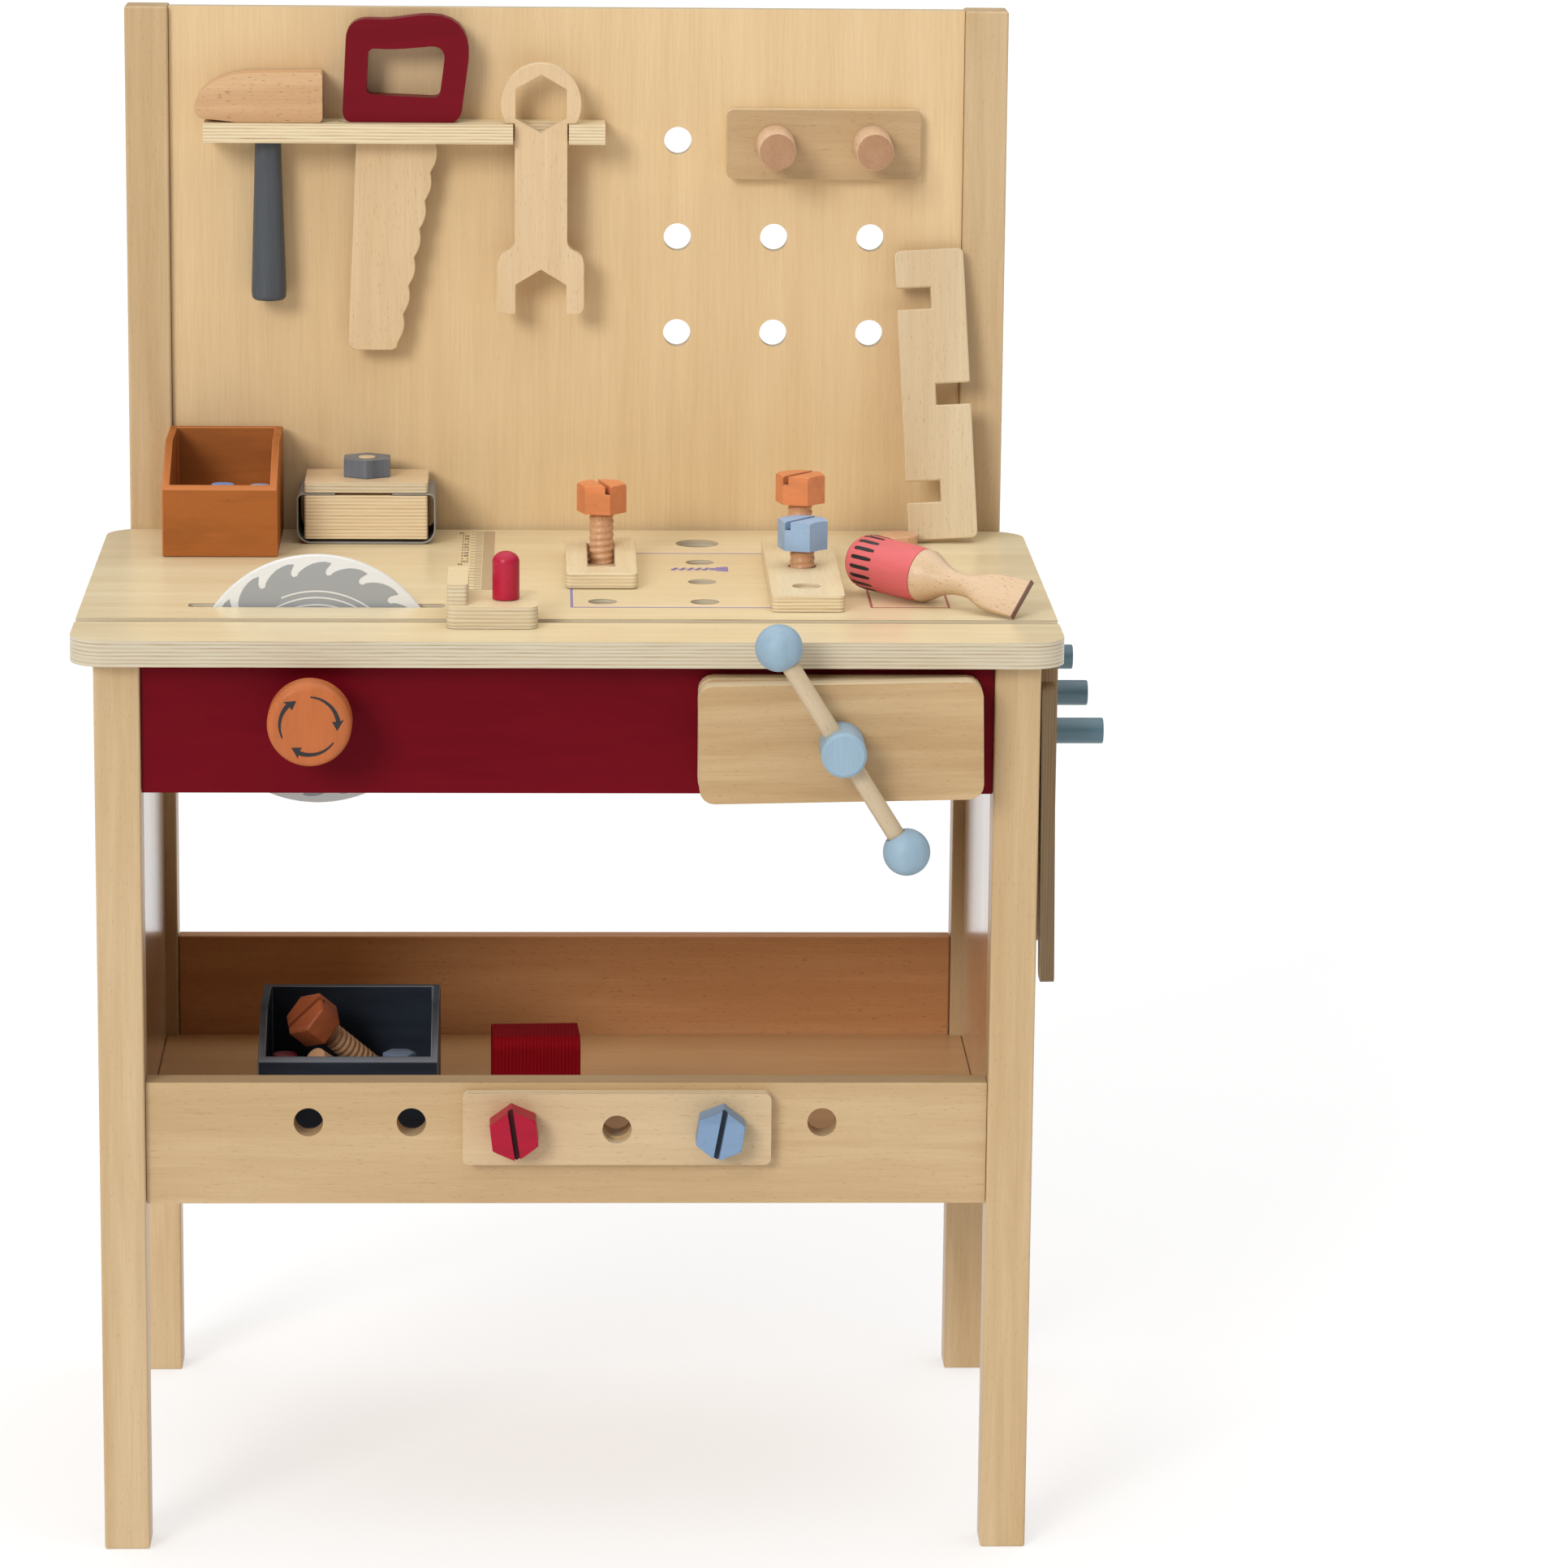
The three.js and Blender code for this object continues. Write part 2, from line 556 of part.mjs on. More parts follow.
function makeSandingBlock() {
  const band = abrasiveBand(
    SAND_X[0] - BAND_BULGE - BAND_THICK, SAND_X[1] + BAND_BULGE + BAND_THICK,
    onTop, SAND_TOP + GAP + BAND_THICK, 9, 4.5, -150, -113,
  );
  place('sanding_band', band, ABRASIVE_GREY, 0, SAND_Y[0], 0);

  const stud = [[STUD_X, STUD_Y, STUD_R + GAP]];
  const blockBottom = TOP_Z + 3.3; // the band sags below the block
  const block = plate(roundRect(...SAND_X, ...SAND_Y, 2, stud), blockBottom, SAND_TOP - blockBottom);
  place('sanding_block', block, BEECH);
  const clampBottom = SAND_TOP + 2 * GAP + BAND_THICK;
  const clamp = plate(roundRect(...SAND_X, ...SAND_Y, 2, stud), clampBottom, CLAMP_TOP - clampBottom);
  place('sanding_clamp', clamp, PLY);
  place('sanding_stud', bar(STUD_R, blockBottom + 2, STUD_TOP, 20), PALE, STUD_X, STUD_Y, 0);
  const nut = hexagon(0, 0, NUT_CORNER, -Math.PI / 2, STUD_R + GAP);
  const nutBottom = CLAMP_TOP + GAP;
  place('sanding_nut', plate(nut, nutBottom, 11.6), SLATE, STUD_X, STUD_Y, 0);
}

// A spare band, bent into an arch and stood on the shelf.
function makeSpareBand() {
  const half = 22;
  const top = 74;
  const outline = roundRect(-half, half, -20, top, 8);
  const hollow = roundRect(
    BAND_THICK - half, half - BAND_THICK, -25, top - BAND_THICK, 8 - BAND_THICK,
  );
  const width = SAND_Y[1] - SAND_Y[0];
  const below = box(-1, width + 1, -30, 30, -40, 0);
  const arch = cut(profile(outline, 0, width), profile(hollow, -1, width + 2), below);
  const spare = place('spare_sanding_band', arch, ABRASIVE_RED, -46.5, 94, SHELF_TOP + GAP);
  spare.rotation.z = degrees(3);
}

// ---------------------------------------------------------------- tools on the rack
const HAMMER_HEAD = [337, 365]; // front and back of the hammer head
const HANDLE_TOP_R = 8.4;

function makeHammer() {
  const bottom = RACK_TOP + GAP;
  const head = new THREE.Shape();
  head.moveTo(-214, bottom);
  head.lineTo(-159.5, bottom);
  head.lineTo(-157.8, bottom + 2);
  head.lineTo(-157.8, 878);
  head.quadraticCurveTo(-157.8, 880, -160, 880);
  head.lineTo(-206, 879.4);
  head.bezierCurveTo(-224, 878, -239, 869, -240.2, 858);
  head.quadraticCurveTo(-240.2, 851, -234, 850.4);
  head.quadraticCurveTo(-224, 849.6, -214, bottom);
  const depth = HAMMER_HEAD[1] - HAMMER_HEAD[0];
  const tenonTop = 864;
  const mortise = bar(HANDLE_TOP_R + GAP, bottom - 5, tenonTop + GAP, 24);
  mortise.translate(HAMMER_X, HAMMER_Y, 0);
  place('hammer_head', cut(panel(head, HAMMER_HEAD[0], depth, 8), mortise), BEECH);

  const foot = 731.5;
  const handle = turned([
    [0, foot], [9.6, foot], [11.2, foot + 2], [11.4, foot + 6],
    [HANDLE_TOP_R, bottom - 14], [HANDLE_TOP_R, tenonTop], [0, tenonTop],
  ], 28);
  place('hammer_handle', handle, SLATE, HAMMER_X, HAMMER_Y, 0);
}

const GRIP_Y = 342;
const GRIP_THICK = 16;
const BLADE_Y = 347;
const BLADE_THICK = 6;
const BLADE_TOP = 859;
const BLADE_FOOT = 699;
const TEETH = 7;

function makeHandsaw() {
  const bottom = RACK_TOP + GAP;
  const grip = new THREE.Shape();
  grip.moveTo(-139, bottom);
  grip.lineTo(-75, bottom);
  grip.quadraticCurveTo(-69, bottom + 1, -68, 857);
  grip.lineTo(-63.8, 888);
  grip.bezierCurveTo(-62, 906, -70, 917.3, -88, 917.3);
  grip.bezierCurveTo(-102, 917.3, -110, 913.5, -126, 914.6);
  grip.quadraticCurveTo(-142.6, 915.5, -142.8, 901);
  grip.lineTo(-145, 856);
  grip.quadraticCurveTo(-145, bottom, -139, bottom);
  const opening = new THREE.Path();
  opening.moveTo(-125, 865.8);
  opening.quadraticCurveTo(-129.6, 866, -129.6, 870);
  opening.lineTo(-128.6, 891);
  opening.quadraticCurveTo(-128.4, 895.6, -124, 895.6);
  opening.bezierCurveTo(-108, 894.6, -98, 896.4, -88, 897.2);
  opening.quadraticCurveTo(-79, 897.4, -79.3, 889);
  opening.lineTo(-82, 868);
  opening.quadraticCurveTo(-82.6, 864.2, -87, 864.2);
  grip.holes.push(opening);
  const mortise = box(-140, -79, BLADE_Y - GAP, BLADE_Y + BLADE_THICK + GAP, bottom - 5, BLADE_TOP + GAP);
  place('handsaw_handle', cut(panel(grip, GRIP_Y, GRIP_THICK, 7), mortise), BURGUNDY);

  // The blade narrows downwards, with a wavy toothed edge on the right below the rack.
  const points = [
    [-135.5, BLADE_TOP], [-142, BLADE_FOOT + 6], [-141.6, BLADE_FOOT + 3], [-140, BLADE_FOOT + 1],
    [-137, BLADE_FOOT], [-114, BLADE_FOOT], [-110.5, BLADE_FOOT + 1.5],
  ];
  const edgeFoot = BLADE_FOOT + 5;
  const edgeTop = RACK_TOP - RACK_THICK - 2;
  const steps = 6;
  for (let k = 0; k <= TEETH * steps; k += 1) {
    const along = k / (TEETH * steps);
    const phase = (k % steps) / steps;
    const wave = 2.3 * Math.sin(Math.PI * phase);
    points.push([-110 + 25 * along + wave, edgeFoot + (edgeTop - edgeFoot) * along]);
  }
  points.push([-80.5, edgeTop + 5], [-80.5, BLADE_TOP]);
  const blade = polygon(points.reverse());
  place('handsaw_blade', panel(blade, BLADE_Y, BLADE_THICK), PALE);
}

function makeWrench() {
  const ringZ = 861;
  const ringR = 26;
  const shoulder = RACK_TOP + GAP;
  const half = 17;
  const jawHalf = 16.5;
  const wide = 28;
  const foot = 724.5;
  const lift = Math.asin((shoulder - ringZ) / ringR);
  const outline = new THREE.Shape();
  outline.setFromPoints(arc(0, ringZ, ringR, lift, Math.PI - lift, 28));
  outline.lineTo(-half, shoulder);
  outline.lineTo(-half, 771);
  outline.quadraticCurveTo(-half - 1, 767, -half - 6, 765);
  outline.quadraticCurveTo(-wide, 763, -wide, 756);
  outline.lineTo(-wide, foot + 6);
  outline.quadraticCurveTo(-wide, foot, -wide + 5, foot);
  outline.lineTo(-jawHalf, foot);
  outline.lineTo(-jawHalf, 743.5);
  outline.lineTo(0, 753.5);
  outline.lineTo(jawHalf, 743.5);
  outline.lineTo(jawHalf, foot);
  outline.lineTo(wide - 5, foot);
  outline.quadraticCurveTo(wide, foot, wide, foot + 6);
  outline.lineTo(wide, 756);
  outline.quadraticCurveTo(wide, 763, half + 6, 765);
  outline.quadraticCurveTo(half + 1, 767, half, 771);
  outline.lineTo(half, shoulder);
  outline.closePath();
  outline.holes.push(hexagon(0, ringZ, 19, Math.PI / 2));
  const front = 338;
  const thick = 11;
  place('wrench', panel(outline, front, thick), PALE, WRENCH_X, 0, 0);
}

// ---------------------------------------------------------------- planks
const PEG_SINK = 0.9; // a peg or bolt sinks to the bottom of its hole

function plankOutline(pitches, x0, y0, lengthwise, holes) {
  const length = pitches * PITCH;
  const [width, height] = lengthwise === 'x' ? [length, PLANK_WIDTH] : [PLANK_WIDTH, length];
  return roundRect(x0, x0 + width, y0, y0 + height, 4, holes);
}

function makePanelPlank() {
  const [, left, right] = PANEL_X;
  const middle = (left + right) / 2;
  const z = PANEL_Z[0] - PEG_SINK;
  const holes = [[left, z, HOLE_R], [right, z, HOLE_R]];
  const outline = plankOutline(2, middle - PITCH, z - PLANK_WIDTH / 2, 'x', holes);
  const front = PANEL_FRONT - GAP - PLANK_THICK;
  place('peg_plank', panel(outline, front, PLANK_THICK), PLY);

  const shank = PLANK_THICK + PANEL_THICK + 6;
  const headLength = 39.5;
  const peg = turned([
    [0, 0], [SHANK_R, 0], [SHANK_R, shank], [12.8, shank], [11.9, shank + headLength], [0, shank + headLength],
  ], 32).rotateX(Math.PI / 2);
  place('plank_peg_left', peg, BEECH, left, front - GAP + shank, z);
  place('plank_peg_right', peg, BEECH, right, front - GAP + shank, z);
}

function makeNotchedPlank() {
  const half = 1.5 * PITCH;
  const deep = 22.5;
  const notch = 7;
  const left = -PLANK_WIDTH / 2;
  const right = PLANK_WIDTH / 2;
  const board = plate(roundRect(left, right, -half, half, 4), 0, PLANK_THICK);
  const notches = [[left - 1, left + deep, PITCH], [right - deep, right + 1, 0], [left - 1, left + deep, -PITCH]];
  const cuts = notches.map(([x0, x1, y]) => box(x0, x1, y - notch, y + notch, -1, PLANK_THICK + 1));
  const plank = place('notched_plank', cut(board, ...cuts), PLY);
  // Stood on end, leaning back against the right post and a little to the left.
  plank.rotation.set(degrees(90 - 11), 0, degrees(3.1), 'XYZ');
  plank.position.set(0, 0, 0);
  plank.updateMatrixWorld();
  const extent = new THREE.Box3().setFromObject(plank, true);
  plank.position.set(213.3 - extent.min.x, POST_FRONT - GAP - extent.max.y, onTop - extent.min.z);
}

function makeBenchPeg() {
  const shank = TOP_THICK + 10;
  const peg = turned([
    [0, -shank], [SHANK_R, -shank], [SHANK_R, 0], [12.7, 0], [12.7, 7.6], [12.1, 8.3], [0, 8.3],
  ], 32);
  place('bench_peg', peg, BEECH, ...BENCH_PEG, onTop);
}

// ---------------------------------------------------------------- bolts
const HEAD_CORNER = 16.2;
const HEAD_HEIGHT = 18.4;
const HEAD_BEVEL = 1.2;
const BOLT_SHANK = 45;
const BOLT_SHANK_R = 7.1; // at the root of the thread
const DRIVE_WIDTH = 3.4;
const DRIVE_DEPTH = 5;

// A wooden bolt along Z with its head above z = 0 and its shank below. The head is a hexagon with
// a bevelled top and a slot for the driver.
function boltGeometry(headTurn, slotTurn) {
  const prism = plate(hexagon(0, 0, HEAD_CORNER, headTurn), 0, HEAD_HEIGHT);
  const cap = turned([
    [0, -1], [HEAD_CORNER + 0.5, -1], [HEAD_CORNER + 0.5, HEAD_HEIGHT - HEAD_BEVEL],
    [HEAD_CORNER - 1.6, HEAD_HEIGHT], [0, HEAD_HEIGHT],
  ], 24);
  const reach = HEAD_CORNER + 2;
  const slot = box(
    -reach, reach, -DRIVE_WIDTH / 2, DRIVE_WIDTH / 2, HEAD_HEIGHT - DRIVE_DEPTH, HEAD_HEIGHT + 1,
  ).rotateZ(slotTurn);
  const shank = turned([
    [0, -BOLT_SHANK], [BOLT_SHANK_R - 1, -BOLT_SHANK], [BOLT_SHANK_R, 1 - BOLT_SHANK],
    [BOLT_SHANK_R, 1], [0, 1],
  ], 24);
  return join(cut(common(prism, cap), slot), shank);
}

function makeBolts() {
  // name, colour, column, row, height of the underside of the head, head turn, slot turn
  const upright = [
    ['bolt_orange_left', ORANGE, GRID_X[0] + 0.5, GRID_Y[2], 611, -71, 105],
    ['bolt_blue_middle', BLUE, GRID_X[2], GRID_Y[1], 600, -76, 50],
    ['bolt_orange_right', ORANGE, GRID_X[2] + 1, GRID_Y[2], 617.5, -75, 50],
  ];
  for (const [name, material, x, y, z, head, slot] of upright) {
    place(name, boltGeometry(degrees(head), degrees(slot)), material, x, y, z);
  }
  const plankFront = RAIL_FRONT - GAP - PLANK_THICK;
  const across = [
    ['bolt_magenta', MAGENTA, RAIL_FIRST_X + 2 * PITCH, 96.5, 98.4],
    ['bolt_blue_front', BLUE, RAIL_FIRST_X + 4 * PITCH, 81.6, 79.5],
  ];
  for (const [name, material, x, head, slot] of across) {
    const bolt = boltGeometry(degrees(head), degrees(slot)).rotateX(Math.PI / 2);
    place(name, bolt, material, x, plankFront - GAP, RAIL_Z - PEG_SINK);
  }
}

function makePlanks() {
  const half = PLANK_WIDTH / 2;
  const [x1, , x3] = GRID_X;
  const slotHalf = 8.6;
  const slotted = plankOutline(2, x1 - half, 154, 'y', []);
  slotted.holes.push(polygon([
    [x1 - slotHalf, 178], [x1 - slotHalf, 263], [x1 + slotHalf, 263], [x1 + slotHalf, 178],
  ]));
  place('slotted_plank', plate(slotted, onTop, PLANK_THICK), PLY);

  const rows = GRID_Y.slice(0, 3);
  const flat = roundRect(
    x3 - half, x3 + half, rows[0] - ROW_PITCH / 2, rows[2] + ROW_PITCH / 2, 4,
    rows.map((y) => [x3, y, HOLE_R]),
  );
  place('three_hole_plank', plate(flat, onTop, PLANK_THICK), PLY);

  const z = RAIL_Z - 2 * PEG_SINK;
  const columns = [2, 3, 4].map((k) => RAIL_FIRST_X + k * PITCH);
  const upright = plankOutline(3, columns[0] - PITCH / 2, z - half, 'x', columns.map((x) => [x, z, HOLE_R]));
  place('front_plank', panel(upright, RAIL_FRONT - GAP - PLANK_THICK, PLANK_THICK), PLY);
}

// ---------------------------------------------------------------- screwdriver
// Sections along the shaft: [distance, half width, half thickness, squareness]. A squareness of 2
// is an ellipse, and larger values come closer to a rectangle.
const SHAFT_SECTIONS = [
  [56.3, 16.8, 16.8, 2], [60, 16.3, 16.3, 2], [65, 13.8, 13.8, 2], [70, 10.9, 10.9, 2],
  [75, 8.7, 8.7, 2], [81, 7.3, 7.3, 2], [88, 6.9, 6.8, 2], [94, 7.5, 6.1, 2.3],
  [99, 9.6, 5.3, 2.8], [104, 11.7, 4.5, 3.4], [110, 12.8, 3.6, 4], [120, 13.3, 2.5, 5],
  [133, 13.6, 1.4, 6],
];
const DRIVER_ROLL = 48;
const DRIVER_HEADING = -41;
const DRIVER_DIP = 4.2;

function loft(sections, count) {
  const positions = [];
  for (const [distance, halfWidth, halfThick, square] of sections) {
    for (let k = 0; k < count; k += 1) {
      const angle = 2 * Math.PI * k / count;
      const c = Math.cos(angle);
      const s = Math.sin(angle);
      const y = halfWidth * Math.sign(c) * Math.abs(c) ** (2 / square);
      const z = halfThick * Math.sign(s) * Math.abs(s) ** (2 / square);
      positions.push(distance, y, z);
    }
  }
  const first = positions.length / 3;
  positions.push(sections[0][0], 0, 0, sections[sections.length - 1][0], 0, 0);
  const index = [];
  for (let k = 0; k < count; k += 1) {
    const next = (k + 1) % count;
    for (let row = 0; row < sections.length - 1; row += 1) {
      const a = row * count;
      const b = a + count;
      index.push(a + k, b + k, b + next, a + k, b + next, a + next);
    }
    const last = (sections.length - 1) * count;
    index.push(first, k, next, first + 1, last + next, last + k);
  }
  const geometry = new THREE.BufferGeometry();
  geometry.setAttribute('position', new THREE.Float32BufferAttribute(positions, 3));
  // The faces as listed point inwards, so each triangle is turned round.
  for (let k = 0; k < index.length; k += 3) [index[k + 1], index[k + 2]] = [index[k + 2], index[k + 1]];
  geometry.setIndex(index);
  geometry.computeVertexNormals();
  return geometry;
}

function makeScrewdriver() {
  const driver = new THREE.Group();
  bench.add(driver);
  driver.position.set(178.5, 150, 599.4);
  driver.rotation.order = 'ZYX';
  driver.rotation.set(degrees(DRIVER_ROLL), degrees(DRIVER_DIP), degrees(DRIVER_HEADING));
  const handle = turned([
    [0, 0], [7, 0.8], [12.5, 3.4], [15.8, 7.6], [17.2, 14], [17.2, 44], [16.8, 56], [0, 56],
  ], 32).rotateY(Math.PI / 2);
  place('screwdriver_handle', handle, CORAL, 0, 0, 0, driver);
  place('screwdriver_shaft', loft(SHAFT_SECTIONS, 24), PALE, 0, 0, 0, driver);
}

// ---------------------------------------------------------------- assembly
makeFrame();
makeBackPanel();
makeToolRack();
makeWorktop();
makeApron();
makeShelf();
makePegBoard();
makeGaugeBar();
makeSaw();
makeVise();
makeFence();
makeBoxes();
makeSandingBlock();
makeSpareBand();
makeHammer();
makeHandsaw();
makeWrench();
makePanelPlank();
makeNotchedPlank();
makeBenchPeg();
makeBolts();
makePlanks();
makeScrewdriver();

bench.updateMatrixWorld(true);
const bounds = new THREE.Box3().setFromObject(bench, true);
bench.position.set(-(bounds.min.x + bounds.max.x) / 2, -(bounds.min.y + bounds.max.y) / 2, -bounds.min.z);
bench.updateMatrixWorld(true);

export default bench;
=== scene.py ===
import json
import math

import bmesh
import bpy
from mathutils import Matrix, Vector


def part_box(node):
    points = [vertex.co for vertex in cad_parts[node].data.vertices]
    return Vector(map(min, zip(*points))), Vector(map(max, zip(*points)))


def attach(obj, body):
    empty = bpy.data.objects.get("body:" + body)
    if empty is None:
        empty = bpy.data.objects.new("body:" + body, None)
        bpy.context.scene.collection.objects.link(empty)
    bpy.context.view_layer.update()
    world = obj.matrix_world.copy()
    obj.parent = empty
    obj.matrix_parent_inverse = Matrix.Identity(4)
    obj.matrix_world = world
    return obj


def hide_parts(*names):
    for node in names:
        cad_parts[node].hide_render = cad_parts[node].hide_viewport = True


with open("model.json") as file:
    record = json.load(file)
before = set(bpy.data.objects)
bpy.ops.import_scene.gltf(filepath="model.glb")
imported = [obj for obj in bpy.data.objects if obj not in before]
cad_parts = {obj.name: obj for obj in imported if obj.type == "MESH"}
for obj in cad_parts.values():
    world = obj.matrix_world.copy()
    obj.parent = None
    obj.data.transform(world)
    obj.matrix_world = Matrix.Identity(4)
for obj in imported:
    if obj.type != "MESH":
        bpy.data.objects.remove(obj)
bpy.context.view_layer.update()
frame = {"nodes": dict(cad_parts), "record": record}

# -------- the frame
# Lengths in this file are millimetres in the bench's own system: X = 0 is the middle of the
# worktop, Y = 0 the front face of the front legs, and Z = 0 the floor. spot() turns them into the
# frame's metres.
MM = 0.001
top_lo, top_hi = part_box("worktop")
leg_lo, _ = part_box("leg_front_left")
ORIGIN = Vector(((top_lo.x + top_hi.x) / 2, leg_lo.y, leg_lo.z))
TOP_Z = (top_hi.z - ORIGIN.z) / MM


def spot(x, y, z):
    return ORIGIN + Vector((x, y, z)) * MM


def local_box(node):
    lo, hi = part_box(node)
    return (lo - ORIGIN) / MM, (hi - ORIGIN) / MM


BODY_OF = {n: b for b, ns in frame["record"]["behaviour"]["bodies"].items() for n in ns}

# -------- camera, floor and light
CAM_AT = (-17.817, -3723.158, 1321.094)
CAM_YAW, CAM_PITCH, CAM_ROLL = 0.0385058, 0.2200520, 0.0101288
FOCAL_PX, PHOTO_HIGH = 7759.98, 1932
SENSOR_HIGH = 36

FLOOR_HALF = 30.0               # metres from the middle to an edge
FLOOR_GREY, FLOOR_GLOW = 0.43, 0.56
SKY_DIM, SKY_BRIGHT = 0.12, 1.85    # near the horizon and overhead
SKY_FROM = 0.35                 # the height, 0 to 1, where the sky begins to brighten
SUN_STRENGTH, SUN_WIDTH = 1.62, 22
SUN_AT, SUN_TARGET = (-1450, -2500, 1900), (0, 150, 560)


def make_camera():
    data = bpy.data.cameras.new("camera")
    data.sensor_fit = "VERTICAL"
    data.sensor_height = SENSOR_HIGH
    data.lens = FOCAL_PX / PHOTO_HIGH * SENSOR_HIGH
    data.clip_end = 100
    camera = bpy.data.objects.new("camera", data)
    bpy.context.scene.collection.objects.link(camera)
    cp, sp = math.cos(CAM_PITCH), math.sin(CAM_PITCH)
    cy, sy = math.cos(CAM_YAW), math.sin(CAM_YAW)
    ahead = Vector((sy * cp, cy * cp, -sp))
    right = Vector((cy, -sy, 0))
    up = right.cross(ahead)
    cr, sr = math.cos(CAM_ROLL), math.sin(CAM_ROLL)
    x_axis = right * cr + up * sr
    y_axis = up * cr - right * sr
    turn = Matrix((x_axis, y_axis, -ahead)).transposed().to_4x4()
    camera.matrix_world = Matrix.Translation(spot(*CAM_AT)) @ turn
    bpy.context.scene.camera = camera


def make_floor():
    mesh = bpy.data.meshes.new("floor")
    h = FLOOR_HALF
    mesh.from_pydata([(-h, -h, 0), (h, -h, 0), (h, h, 0), (-h, h, 0)], [], [(0, 1, 2, 3)])
    floor = bpy.data.objects.new("floor", mesh)
    bpy.context.scene.collection.objects.link(floor)
    mat = bpy.data.materials.new("floor")
    mat.use_nodes = True
    shader = mat.node_tree.nodes["Principled BSDF"]
    shader.inputs["Base Color"].default_value = (FLOOR_GREY, FLOOR_GREY, FLOOR_GREY, 1)
    shader.inputs["Roughness"].default_value = 0.8
    shader.inputs["Specular IOR Level"].default_value = 0.0
    shader.inputs["Emission Color"].default_value = (1, 1, 1, 1)
    shader.inputs["Emission Strength"].default_value = FLOOR_GLOW
    mesh.materials.append(mat)


def make_sky():
    """A white studio that is brightest overhead."""
    world = bpy.data.worlds.new("world")
    world.use_nodes = True
    tree = world.node_tree
    sky = tree.nodes.new("ShaderNodeTexCoord")
    height = tree.nodes.new("ShaderNodeSeparateXYZ")
    tree.links.new(sky.outputs["Generated"], height.inputs[0])
    fade = tree.nodes.new("ShaderNodeMapRange")
    fade.inputs["From Min"].default_value = SKY_FROM
    fade.inputs["From Max"].default_value = 1.0
    fade.inputs["To Min"].default_value = SKY_DIM
    fade.inputs["To Max"].default_value = SKY_BRIGHT
    tree.links.new(height.outputs["Z"], fade.inputs["Value"])
    background = tree.nodes["Background"]
    background.inputs[0].default_value = (1, 1, 1, 1)
    tree.links.new(fade.outputs["Result"], background.inputs[1])
    bpy.context.scene.world = world
    bpy.context.scene.view_settings.view_transform = "Standard"


def make_key_light():
    sun = bpy.data.lights.new("key", "SUN")
    sun.energy = SUN_STRENGTH
    sun.angle = math.radians(SUN_WIDTH)
    sun.color = (1, 0.99, 0.97)
    key = bpy.data.objects.new("key", sun)
    bpy.context.scene.collection.objects.link(key)
    key.location = spot(*SUN_AT)
    towards = spot(*SUN_TARGET) - key.location
    key.rotation_euler = towards.to_track_quat("-Z", "Y").to_euler()


# -------- material nodes
class Graph:
    """Short calls for building one material's node tree."""

    def __init__(self, name):
        self.mat = bpy.data.materials.new(name)
        self.mat.use_nodes = True
        self.tree = self.mat.node_tree
        self.shader = self.tree.nodes["Principled BSDF"]
        self.coords = self.tree.nodes.new("ShaderNodeTexCoord")

    def node(self, kind, **inputs):
        """A new node. i0, i1 and so on set an input by its number, other names by its name."""
        made = self.tree.nodes.new(kind)
        for key, value in inputs.items():
            self.put(made.inputs[int(key[1:])] if key[0] == "i" and key[1:].isdigit()
                     else made.inputs[key.replace("_", " ")], value)
        return made

    def put(self, socket, value):
        if isinstance(value, bpy.types.NodeSocket):
            self.tree.links.new(value, socket)
        else:
            socket.default_value = value

    def math(self, operation, a, b=0.0):
        made = self.node("ShaderNodeMath", i0=a, i1=b)
        made.operation = operation
        return made.outputs[0]

    def dot(self, vector, other):
        made = self.node("ShaderNodeVectorMath", i0=vector, i1=other)
        made.operation = "DOT_PRODUCT"
        return made.outputs["Value"]

    def scaled(self, vector, scale):
        made = self.node("ShaderNodeVectorMath", i0=vector, i1=scale)
        made.operation = "MULTIPLY"
        return made.outputs[0]

    def noise(self, vector, detail=3.0, rough=0.55, distortion=0.0):
        made = self.node("ShaderNodeTexNoise", Vector=vector, Scale=1.0, Detail=detail,
                         Roughness=rough, Distortion=distortion)
        return made.outputs["Fac"]

    def ramp(self, fac, stops):
        made = self.node("ShaderNodeValToRGB", Fac=fac)
        elements = made.color_ramp.elements
        while len(elements) < len(stops):
            elements.new(0.5)
        for element, (at, colour) in zip(elements, stops):
            element.position = at
            element.color = (*colour, 1)
        return made.outputs["Color"]

    def level(self, fac, low, high):
        """0 at low and 1 at high."""
        made = self.node("ShaderNodeMapRange", Value=fac)
        made.inputs["From Min"].default_value = low
        made.inputs["From Max"].default_value = high
        return made.outputs["Result"]

    def mix(self, fac, a, b, mode="MIX"):
        made = self.tree.nodes.new("ShaderNodeMix")
        made.data_type = "RGBA"
        made.blend_type = mode
        self.put(made.inputs["Factor"], fac)
        self.put(made.inputs[6], a)
        self.put(made.inputs[7], b)
        return made.outputs[2]

    def bump(self, height, strength, distance):
        made = self.node("ShaderNodeBump", Height=height, Strength=strength, Distance=distance)
        self.put(self.shader.inputs["Normal"], made.outputs["Normal"])


def linear(colour):
    """sRGB 0..255 to the linear values that a shader takes."""
    out = []
    for value in colour:
        c = value / 255
        out.append(c / 12.92 if c <= 0.04045 else ((c + 0.055) / 1.055) ** 2.4)
    return tuple(out)


def rgba(colour):
    return (*linear(colour), 1)


def dim(colour, factor):
    return tuple(c * factor for c in colour)


